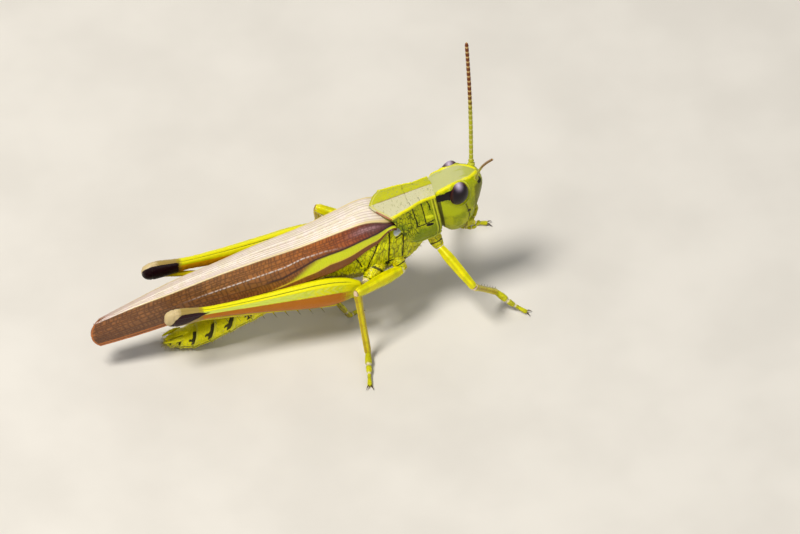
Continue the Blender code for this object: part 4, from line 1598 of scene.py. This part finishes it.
@dataclass(frozen=True)
class WingLeather:
    """Veined wing leather: cream over the back, maroon to brown along the side, with a lime stripe."""

    name: str = "wing_leather"
    along: tuple[tuple[float, Shade], ...] = (  # the side's shades, by the share of the wing's length
        (0.0, (104, 44, 36)), (0.1, (160, 72, 34)), (0.22, (180, 98, 36)), (0.4, (172, 108, 48)),
        (0.6, (158, 106, 58)), (0.8, (142, 94, 50)), (1.0, (138, 86, 46)),
    )
    side_marks: tuple[Mark, ...] = paint(
        cells=(196, 124, 66, 0.3), dusk=(70, 44, 26, 0.35), maroon=(84, 26, 34, 0.9),
        # the pink-white sheen is a painted highlight, and the pale dashes along the third vein a painted
        # glint
        sheen=(206, 158, 160, 0.6), vein=(70, 38, 22, 0.62), field=(116, 66, 2, 0.88),
        stripe=(208, 214, 0, 1.0), under=(42, 20, 26, 0.9), yellow=(226, 200, 50, 0.95),
        margin=(206, 116, 50, 0.8), silver=(228, 214, 206, 0.95),
    )
    back_marks: tuple[Mark, ...] = paint(strip_line=(160, 124, 116, 0.7), tip=(150, 96, 60, 0.9))
    fold: Mark = Mark("rim", (222, 198, 128), 0.9)
    back: tuple[Shade, Shade] = ((228, 216, 188), (236, 222, 208))
    cloud: Shade = (84, 52, 30)
    cloud_size: float = 0.5
    cloud_strength: float = 0.35
    speck_size: float = 0.08
    speck_depth: float = 0.006
    coat: float = 0.25
    coat_roughness: float = 0.22

    def make(self) -> Material:
        """Builds the material.

        Returns:
            The finished material.
        """
        bench = Bench(self.name)
        ramp = self.ramp(bench)
        clouds = bench.reach(bench.noise(self.cloud_size, 4.0, 0.5), 0.35, 0.65)
        side = bench.mix(clouds, ramp, self.cloud, self.cloud_strength)
        for mark in self.side_marks:
            side = bench.mix(bench.mask(mark.mask), side, mark.colour, mark.strength)
        back = bench.mix(clouds, *self.back)
        for mark in self.back_marks:
            back = bench.mix(bench.mask(mark.mask), back, mark.colour, mark.strength)
        both = bench.mix(bench.mask("side"), back, side)
        both = bench.mix(bench.mask(self.fold.mask), both, self.fold.colour, self.fold.strength)
        specks = bench.noise(self.speck_size, 2.0)
        return bench.finish({
            "Base Color": both, "Roughness": bench.reach(specks, 0.3, 0.7, 0.34, 0.5),
            "Normal": bench.bump(specks, self.speck_depth),
            "Coat Weight": self.coat, "Coat Roughness": self.coat_roughness,
        })

    def ramp(self, bench: Bench) -> Socket:
        """The side's shades along the wing."""
        node = bench.tree.nodes.new("ShaderNodeValToRGB")
        bench.fill(node, {0: bench.mask("along")})
        stops = node.color_ramp.elements
        while len(stops) < len(self.along):
            stops.new(0.5)
        for stop, (place, _) in zip(stops, self.along):
            stop.position = place
        for stop, (_, shade) in zip(stops, self.along):
            stop.color = linear(shade)
        return node.outputs[0]


# ---------------------------------------------------------------- assemblies


@dataclass
class Head:
    """The head with its eyes, mouth and feelers."""

    drawing: Drawing
    feeler_ends: dict = field(default_factory=lambda: {
        Side.LEFT: ((0.27, 3.5, 20.15), (0.1, 0.0, 0.0)),
        Side.RIGHT: ((-0.83, -6.2, 18.15), (-0.2, 0.0, 0.25)),
    })
    feeler_thickness: dict = field(default_factory=lambda: {Side.LEFT: 0.15, Side.RIGHT: 0.095})
    feeler_root: Point = (-0.26, 0.56, 10.74)
    lip_up: Point = (1.0, 0.0, 0.3)
    lip: tuple[Station, ...] = (
        (-0.12, 0, 7.72, 0.5, 0.2), (-0.28, 0, 7.35, 0.62, 0.26), (-0.45, 0, 6.95, 0.62, 0.27),
        (-0.7, 0, 6.5, 0.55, 0.25), (-1.0, 0, 6.22, 0.4, 0.16),
    )
    jaw: tuple[Station, ...] = (
        (-0.75, 0.86, 7.35, 0.2, 0.3), (-0.82, 0.84, 6.95, 0.24, 0.36), (-0.95, 0.6, 6.55, 0.2, 0.3),
        (-1.05, 0.35, 6.3, 0.12, 0.2),
    )
    outer_palp: tuple[Station, ...] = (
        (-1.2, 0.5, 6.7, 0.1, 0.1), (-0.95, 0.75, 6.45, 0.12, 0.12), (-0.65, 0.9, 6.4, 0.12, 0.12),
        (-0.3, 0.9, 6.55, 0.12, 0.12), (-0.05, 0.85, 6.85, 0.14, 0.14),
    )
    inner_palp: tuple[Station, ...] = (
        (-1.45, 0.2, 6.4, 0.1, 0.1), (-1.25, 0.32, 6.15, 0.11, 0.11), (-1.0, 0.38, 6.05, 0.11, 0.11),
        (-0.65, 0.44, 6.1, 0.13, 0.13),
    )

    def build(self) -> None:
        """Builds and dresses every piece."""
        capsule = HeadCapsule().build("head_capsule", self.drawing)
        dress(capsule, HEAD_SHELL.make(), ("head",))
        lacquer = EyeLacquer().make()
        ringed = FEELER_SHELL.make()
        for side in Side:
            ball = EyeBall(side=side).build(f"eye_ball_{side.word}", self.drawing)
            dress(ball, lacquer, (f"eye_{side.word}",))
            end, bow = self.feeler_ends[side]
            root, thick = side.turned(self.feeler_root), self.feeler_thickness[side]
            whip = Feeler(root=root, end=end, bow=bow, thick=thick).build(f"feeler_{side.word}", self.drawing)
            dress(whip, ringed, (f"antenna_{side.word}",))
        self.mouth(FOOT_SHELL.make())

    def mouth(self, material: Material) -> None:
        """Builds the face plate, the lip, the jaws and both pairs of palps as one piece."""
        plate = LegPiece(stations=self.lip, up=self.lip_up, across=44, along=60, pads=(0.42,))
        pieces = [plate.build("mouth", self.drawing)]
        for side in Side:
            shapes = (self.jaw, self.outer_palp, self.inner_palp)
            jaw, outer, inner = (tuple(map(side.turned, rows)) for rows in shapes)
            parts = (
                LegPiece(stations=jaw, up=self.lip_up, across=24, along=36),
                LegPiece(stations=outer, across=18, along=70, pads=(0.25, 0.5, 0.75)),
                LegPiece(stations=inner, across=18, along=50, pads=(0.33, 0.66)),
            )
            for number, part in enumerate(parts):
                pieces.append(part.build(f"mouth_part_{side.word}_{number}", self.drawing))
        dress(join(*pieces), material, ("mouthparts",))


@dataclass
class Body:
    """The saddle, the trunk, the abdomen with its end plates, and both fore wings."""

    drawing: Drawing
    wing_tips: dict = field(default_factory=lambda: {Side.LEFT: -27.9, Side.RIGHT: -28.3})
    tail_plate: tuple[Station, ...] = (
        (-21.2, 0, 1.5, 0.3, 0.12), (-21.8, 0, 1.36, 0.32, 0.13), (-22.5, 0, 1.12, 0.2, 0.1),
        (-22.85, 0, 0.98, 0.06, 0.04),
    )
    tail_prong: tuple[Station, ...] = (
        (-21.6, 0.42, 1.2, 0.17, 0.17), (-22.1, 0.5, 1.15, 0.16, 0.16), (-22.7, 0.42, 1.06, 0.09, 0.09),
        (-23.0, 0.34, 1.0, 0.03, 0.03),
    )

    def build(self) -> None:
        """Builds and dresses every piece."""
        dress(Saddle().build("saddle", self.drawing), SADDLE_SHELL.make(), ("pronotum",))
        trunk = join(Trunk().build("trunk", self.drawing), ShoulderPad().build("shoulder_pad", self.drawing))
        dress(trunk, TRUNK_SHELL.make(), ("thorax",))
        rear = HindBody().build("hind_body", self.drawing)
        tail = [LegPiece(stations=self.tail_plate, across=24, along=40).build("tail_plate", self.drawing)]
        for side in Side:
            prong = LegPiece(stations=tuple(map(side.turned, self.tail_prong)), across=18, along=40)
            tail.append(prong.build(f"tail_prong_{side.word}", self.drawing))
        dress(join(rear, *tail), HIND_SHELL.make(), ("abdomen",))
        leather = WingLeather().make()
        for side in Side:
            wing = ForeWing(side=side, tip=self.wing_tips[side]).build(f"fore_wing_{side.word}", self.drawing)
            dress(wing, leather, (f"tegmen_{side.word}",))


def dress_leg(name: str, pieces: dict[str, Piece], finishes: dict[str, Material]) -> None:
    """Dresses each piece of a leg in the finish of its part."""
    for part, made in pieces.items():
        dress(made, finishes[part], (f"leg_{name}_{part}",))


@dataclass
class WalkingLeg:
    """A front or middle leg: coxa, femur, spined tibia, and a foot with claws."""

    drawing: Drawing
    pair: str
    side: Side
    root: Point
    hip: Point
    knee: Point
    ankle: Point
    toe: Point
    thickness: float
    femur: tuple[Point, ...] = (  # share of the length, half width, half height
        (-0.02, 0.62, 0.62), (0.1, 0.82, 0.86), (0.35, 1.0, 1.1), (0.7, 0.88, 0.95),
        (0.9, 0.78, 0.86), (1.0, 0.72, 0.8), (1.05, 0.4, 0.45),
    )
    shin: tuple[Point, ...] = (
        (-0.04, 0.22, 0.22), (0.07, 0.27, 0.29), (0.2, 0.23, 0.25), (0.6, 0.21, 0.24),
        (0.94, 0.23, 0.24), (1.02, 0.18, 0.18),
    )
    spines_in_a_row: int = 6

    def build(self, finishes: dict[str, Material]) -> None:
        """Builds and dresses the leg's four pieces.

        Args:
            finishes: the materials by piece.
        """
        name = f"{self.pair}_{self.side.word}"
        root, hip = np.array(self.root), np.array(self.hip)
        flex = hip + (hip - root) * 0.16
        middle = between(self.root, self.hip, 0.6)
        coxa = LegPiece(
            stations=((*root, 0.5, 0.5), (*middle, 0.42, 0.44), (*hip, 0.32, 0.34), (*flex, 0.2, 0.22)),
            up=STEEP_UP, rough=1.0, grooves=5, across=72, along=80,
        )
        femur = LegPiece(
            stations=stretch(self.hip, self.knee, self.femur, self.thickness),
            knee_mark=1.0, root_mark=1.0, grooves=6, across=56, along=130,
        )
        shin = LegPiece(
            stations=stretch(self.knee, self.ankle, self.shin),
            up=STEEP_UP, root_mark=1.0, grooves=4, across=40, along=110,
        )
        pieces = {
            "coxa": coxa.build(f"{name}_coxa", self.drawing),
            "femur": femur.build(f"{name}_femur", self.drawing),
            "tibia": join(shin.build(f"{name}_shin", self.drawing), self.shin_spines(name)),
            "tarsus": self.foot(name),
        }
        dress_leg(name, pieces, finishes)

    def shin_spines(self, name: str) -> Piece:
        """Two rows of short spines under the tibia."""
        knee, ankle = np.array(self.knee), np.array(self.ankle)
        along = (ankle - knee) / np.linalg.norm(ankle - knee)
        inward = np.array([0.0, -self.side.value, 0.0])
        inward = inward - along * inward.dot(along)
        inward /= np.linalg.norm(inward)
        across = np.cross(along, inward)
        thorns = []
        for row in (-1, 1):
            for k in range(self.spines_in_a_row):
                start = between(self.knee, self.ankle, 0.32 + 0.125 * k)
                lean = inward * 0.75 + across * row * 0.55 + along * 0.55
                thorns.append(Thorn(tuple(start + lean * 0.08), tuple(start + lean * 0.42), 0.045))
        return spikes(f"{name}_shin_spines", thorns, self.drawing)

    def foot(self, name: str) -> Piece:
        """The padded foot with its two claws and the pad between them."""
        ankle, toe = np.array(self.ankle), np.array(self.toe)
        mid = between(self.ankle, self.toe, 0.5)
        mid[2] = min(mid[2], 0.24 + 0.35 * (self.ankle[2] - 0.3))
        tip = between(mid, self.toe, 0.86)
        stations = (
            (*ankle, 0.19, 0.2), (*between(ankle, mid, 0.45), 0.25, 0.25), (*mid, 0.2, 0.19),
            (*between(mid, tip, 0.5), 0.13, 0.14), (*tip, 0.17, 0.15), (*between(tip, toe, 0.6), 0.1, 0.1),
        )
        tarsus = LegPiece(stations=stations, pads=(0.3, 0.5), across=28, along=90)
        hooks = claws(f"{name}_claws", tip, toe, self.drawing)
        return join(tarsus.build(f"{name}_tarsus", self.drawing), hooks)


def claws(name: str, tip: Point | Array, toe: Point | Array, drawing: Drawing) -> Piece:
    """Two curved claws that part from the tip of a foot and bend down to the floor."""
    ahead = np.array(toe) - np.array(tip)
    ahead[2] = 0
    ahead /= np.linalg.norm(ahead)
    across = np.array([-ahead[1], ahead[0], 0])
    thorns = []
    for part in (-1, 1):
        root = np.array(tip) + ahead * 0.05 + across * part * 0.07
        elbow = root + ahead * 0.2 + across * part * 0.14 + np.array([0, 0, 0.06])
        end = elbow + ahead * 0.22 + across * part * 0.06
        end[2] = 0.02
        thorns.append(Thorn(tuple(root), tuple(end), 0.06, 8))
    return spikes(name, thorns, drawing, bend=-0.22)


@dataclass
class JumpingLeg:
    """A hind leg folded at rest: coxa, club-shaped femur, spined tibia and a foot under the body."""

    drawing: Drawing
    side: Side
    hip: Point
    knee: Point
    ankle: Point
    foot: tuple[Point, ...]
    club: tuple[Point, ...] = (  # share of the length, half width, half height
        (-0.01, 0.25, 0.36), (0.05, 0.46, 0.82), (0.14, 0.58, 1.12), (0.24, 0.6, 1.15),
        (0.36, 0.54, 0.97), (0.5, 0.45, 0.74), (0.64, 0.37, 0.56), (0.78, 0.32, 0.46),
        (0.86, 0.36, 0.56), (0.92, 0.41, 0.68), (0.975, 0.42, 0.7), (1.01, 0.34, 0.5),
        (1.024, 0.16, 0.24),
    )
    shin: tuple[Point, ...] = (
        (-0.02, 0.2, 0.24), (0.05, 0.24, 0.28), (0.12, 0.2, 0.22), (0.6, 0.19, 0.21),
        (0.94, 0.24, 0.25), (1.0, 0.18, 0.18),
    )
    coxa: tuple[Station, ...] = (
        (-7.7, 1.0, 5.6, 0.75, 0.75), (-8.05, 1.75, 5.25, 0.62, 0.65), (-8.6, 2.3, 4.95, 0.42, 0.45),
        (-8.95, 2.55, 4.8, 0.25, 0.3),
    )
    pivot_from_knee: Point = (0.45, 0.0, -0.3)
    spines_in_a_row: int = 10
    spine_radius: float = 0.055

    def build(self, finishes: dict[str, Material]) -> None:
        """Builds and dresses the leg's four pieces.

        Args:
            finishes: the materials by piece.
        """
        name = f"hind_{self.side.word}"
        coxa = LegPiece(
            stations=tuple(map(self.side.turned, self.coxa)),
            up=STEEP_UP, rough=1.0, grooves=5, across=72, along=80,
        )
        thigh = Thighs(side=self.side, stations=stretch(self.hip, self.knee, self.club))
        pivot = tuple(np.array(self.knee) + np.array(self.pivot_from_knee))
        shin = JumpShin(stations=stretch(pivot, self.ankle, self.shin))
        pieces = {
            "coxa": coxa.build(f"{name}_coxa", self.drawing),
            "femur": thigh.build(f"{name}_thigh", self.drawing),
            "tibia": join(shin.build(f"{name}_shin", self.drawing), self.spines(name, pivot)),
            "tarsus": self.toes(name),
        }
        dress_leg(name, pieces, finishes)

    def spines(self, name: str, pivot: Point) -> Piece:
        """Two rows of spines down the tibia, and four longer spurs at its end."""
        s = self.side.value
        thorns = []
        for k in range(self.spines_in_a_row):
            start = between(pivot, self.ankle, 0.22 + 0.074 * k)
            for out, long in ((0.55 * s, 0.62), (-0.35 * s, 0.5)):
                lean = np.array([0.5, out, -0.72])
                tip = start + lean * (0.12 + long)
                thorns.append(Thorn(tuple(start + lean * 0.12), tuple(tip), self.spine_radius))
        start = between(pivot, self.ankle, 0.98)
        for out, drop in ((0.5 * s, -0.3), (-0.5 * s, -0.3), (0.3 * s, -0.6), (-0.3 * s, -0.6)):
            lean = np.array([0.7, out, drop])
            thorns.append(Thorn(tuple(start + lean * 0.1), tuple(start + lean * 0.75), self.spine_radius))
        return spikes(f"{name}_spines", thorns, self.drawing)

    def toes(self, name: str) -> Piece:
        """The foot with its pads and claws."""
        first, second, third, last = self.foot
        stations = (
            (*first, 0.17, 0.2), (*second, 0.2, 0.22), (*third, 0.17, 0.2),
            (*between(third, last, 0.6), 0.14, 0.15), (*between(third, last, 0.9), 0.17, 0.16),
        )
        up = self.side.turned((0.2, -1.0, 0.6))
        tarsus = LegPiece(stations=stations, up=up, pads=(0.3, 0.6), across=28, along=90)
        hooks = claws(f"{name}_claws", between(third, last, 0.85), last, self.drawing)
        return join(tarsus.build(f"{name}_tarsus", self.drawing), hooks)


@dataclass
class Bristles:
    """Short pale hairs under the body and on the abdomen."""

    drawing: Drawing
    seed: int = 12
    thickness: float = 0.013
    spread: float = 0.18
    patch: float = 0.001  # a third of the width of a hair's patch on the map

    def build(self, name: str, host: Piece, count: int, long: float, lean: Point, keep_below: float) -> None:
        """Grows hairs on a host's faces.

        Args:
            name: the hairs' piece name.
            host: the piece they grow from.
            count: how many hairs.
            long: their mean length, in mm.
            lean: the way they lie over.
            keep_below: the most that a face's normal may point up for hair to grow there.
        """
        scatter = np.random.default_rng(self.seed)
        mesh = host.data
        centres = np.empty(len(mesh.polygons) * 3, np.float32)
        normals = centres.copy()
        mesh.polygons.foreach_get("center", centres)
        mesh.polygons.foreach_get("normal", normals)
        centres, normals = centres.reshape(-1, 3), normals.reshape(-1, 3)
        wanted = np.flatnonzero(normals[:, 2] < keep_below)
        chosen = scatter.choice(wanted, size=min(count, len(wanted)), replace=False)
        thorns = []
        for index in chosen:
            root = centres[index] / MM - self.drawing.shift
            way = normals[index] + np.array(lean) + scatter.normal(0, self.spread, 3)
            way /= np.linalg.norm(way)
            length = long * scatter.uniform(0.6, 1.25)
            thorns.append(Thorn(tuple(root - way * 0.03), tuple(root + way * length), self.thickness, 3))
        coat = spikes(name, thorns, self.drawing, bend=0.06)
        self.unwrap(coat, thorns)
        dress(coat, self.finish)

    def unwrap(self, coat: Piece, thorns: list[Thorn]) -> None:
        """Gives every hair its own small patch of the map, at its root's place round the body.

        Args:
            coat: the hairs' mesh.
            thorns: the hairs, in the mesh's order.
        """
        roots = np.array([thorn.root for thorn in thorns])
        along = (roots[:, 0] - roots[:, 0].min()) / np.ptp(roots[:, 0])
        around = np.arctan2(roots[:, 1], roots[:, 2] - roots[:, 2].max() - 1.0) / (2 * np.pi) % 1.0
        each = len(coat.data.vertices) // len(thorns)
        corner = np.empty(len(coat.data.loops), np.int32)
        coat.data.loops.foreach_get("vertex_index", corner)
        hair, local = corner // each, corner % each
        across = 0.02 + 0.95 * along[hair] + self.patch * (local % 3)
        up = 0.02 + 0.95 * around[hair] + self.patch * (local // 3)
        places = np.stack([across, up], axis=-1)
        layer = coat.data.uv_layers.new(name="OFBake")
        layer.data.foreach_set("uv", places.astype(np.float32).ravel())

    def __post_init__(self) -> None:
        """Makes the hairs' finish once."""
        self.finish = HAIR_SHELL.make()


# ---------------------------------------------------------------- studio


@dataclass(frozen=True)
class Studio:
    """A pale floor, soft lights and the camera."""

    azimuth: float = math.radians(-17.0)
    elevation: float = math.radians(45.0)
    lens: float = 515.0
    distance: float = 0.8
    nearest: float = 0.01
    farthest: float = 10.0
    right_of_middle: float = 5.385  # mm, how far the vertex stands right of the view's middle
    above_middle: float = 6.853
    sky: tuple[float, ...] = (0.86, 0.88, 0.9, 1.0)
    sky_strength: float = 0.26
    floor_size: float = 1.6
    floor_drop: float = 0.00002  # keeps the floor just clear of the soles
    floor_shades: tuple[Shade, Shade] = ((214, 208, 198), (222, 216, 206))
    lamps: tuple[tuple, ...] = (  # name, place, size, power and colour
        ("key", (-0.14, -0.04, 0.3), 0.09, 1.05, (1.0, 0.98, 0.94)),
        ("fill", (0.16, -0.26, 0.16), 0.2, 0.2, (0.94, 0.97, 1.0)),
        ("back", (0.05, 0.3, 0.2), 0.2, 0.15, (1.0, 1.0, 1.0)),
    )

    def build(self, drawing: Drawing) -> None:
        """Sets up the floor, the lights, the world and the camera."""
        a, e = self.azimuth, self.elevation
        back = Vector((math.sin(a) * math.cos(e), -math.cos(a) * math.cos(e), math.sin(e)))
        right = Vector((math.cos(a), math.sin(a), 0.0))
        rise = back.cross(right)
        vertex = Vector(drawing.to_frame(np.array([0.0, 0.0, VERTEX_TOP])))
        centre = vertex - right * self.right_of_middle * MM - rise * self.above_middle * MM
        camera = bpy.data.objects.new("camera", bpy.data.cameras.new("camera"))
        bpy.context.scene.collection.objects.link(camera)
        camera.data.lens = self.lens
        camera.data.clip_start = self.nearest
        camera.data.clip_end = self.farthest
        camera.location = centre + back * self.distance
        camera.rotation_euler = back.to_track_quat("Z", "Y").to_euler()
        bpy.context.scene.camera = camera
        self.floor()
        for lamp in self.lamps:
            self.light(*lamp)
        bpy.context.scene.view_settings.view_transform = "Standard"
        world = bpy.context.scene.world or bpy.data.worlds.new("world")
        bpy.context.scene.world = world
        world.use_nodes = True
        world.node_tree.nodes["Background"].inputs[0].default_value = self.sky
        world.node_tree.nodes["Background"].inputs[1].default_value = self.sky_strength

    def floor(self) -> None:
        """A wide pale floor with a faint mottle."""
        pick()
        bpy.ops.mesh.primitive_plane_add(size=self.floor_size, location=(0, 0, -self.floor_drop))
        ground = bpy.context.active_object
        ground.name = "floor"
        bench = Bench("floor_card")
        cloud = bench.reach(bench.noise(9.0, 3.0), 0.3, 0.7)
        card = bench.finish({"Base Color": bench.mix(cloud, *self.floor_shades), "Roughness": 0.8})
        ground.data.materials.append(card)

    def light(self, name: str, place: Point, size: float, power: float, colour: Point) -> None:
        """One soft square light that faces the insect."""
        lamp = bpy.data.lights.new(name, "AREA")
        lamp.size = size
        lamp.energy = power
        lamp.color = colour
        made = bpy.data.objects.new(name, lamp)
        made.location = place
        made.rotation_euler = Vector(place).to_track_quat("Z", "Y").to_euler()
        made.visible_camera = False
        bpy.context.scene.collection.objects.link(made)


@dataclass
class Legs:
    """All six legs, with the places of their joints on each side."""

    drawing: Drawing
    walking: tuple[tuple, ...] = (  # pair, thickness, root, hip, then knee, ankle and toe, left and right
        (
            "front", 0.38, (-3.55, 0.85, 6.75), (-3.25, 1.5, 5.95),
            ((-1.6, 4.7, 4.25), (0.3, 5.75, 0.5), (2.5, 5.2, 0.15)),
            ((-1.6, -4.45, 4.22), (0.56, -2.77, 1.5), (2.5, -4.1, 0.12)),
        ),
        (
            "middle", 0.45, (-6.45, 1.2, 5.7), (-6.05, 1.95, 4.9),
            ((-10.3, 4.6, 5.9), (-9.8, 5.7, 0.5), (-10.6, 8.5, 0.15)),
            ((-9.9, -3.8, 5.4), (-9.5, -5.0, 0.5), (-10.25, -7.9, 0.15)),
        ),
    )
    jumping: tuple[tuple, ...] = (  # hip, knee, ankle and foot, left and right
        (
            (-9.35, 2.58, 5.36), (-23.45, 2.4, 5.5), (-10.75, 1.7, 2.6),
            ((-10.7, 1.65, 2.5), (-10.1, 1.35, 1.2), (-9.6, 1.1, 0.3), (-8.5, 0.9, 0.15)),
        ),
        (
            (-9.3, -2.58, 4.72), (-23.15, -2.2, 5.2), (-10.75, -1.6, 2.6),
            ((-10.7, -1.5, 2.5), (-10.05, -1.15, 1.2), (-9.6, -0.85, 0.3), (-8.7, -0.45, 0.15)),
        ),
    )

    def build(self) -> None:
        """Builds and dresses every leg."""
        shells = (LEG_SHELL, SHIN_SHELL, FOOT_SHELL, THIGH_SHELL)
        plain, shin, foot, thigh = (shell.make() for shell in shells)
        finishes = {"coxa": plain, "femur": plain, "tibia": shin, "tarsus": foot}
        for number, side in enumerate(Side):
            for pair, thickness, root, hip, *rest in self.walking:
                top = side.turned(root), side.turned(hip)
                WalkingLeg(self.drawing, pair, side, *top, *rest[number], thickness).build(finishes)
            JumpingLeg(self.drawing, side, *self.jumping[number]).build({**finishes, "femur": thigh})


def main() -> None:
    """Builds the insect piece by piece, then the studio."""
    logging.basicConfig(level=logging.INFO, format="%(message)s")
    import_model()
    drawing = Drawing()
    Head(drawing).build()
    Body(drawing).build()
    Legs(drawing).build()
    hairs = Bristles(drawing)
    hairs.build("belly_hairs", bpy.data.objects["hind_body"], 700, 0.32, (-0.7, 0.0, -0.2), 0.15)
    hairs.build("breast_hairs", bpy.data.objects["trunk"], 300, 0.28, (-0.3, 0.0, -0.4), -0.2)
    Studio().build(drawing)
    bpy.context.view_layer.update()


if __name__ == "__main__":
    main()
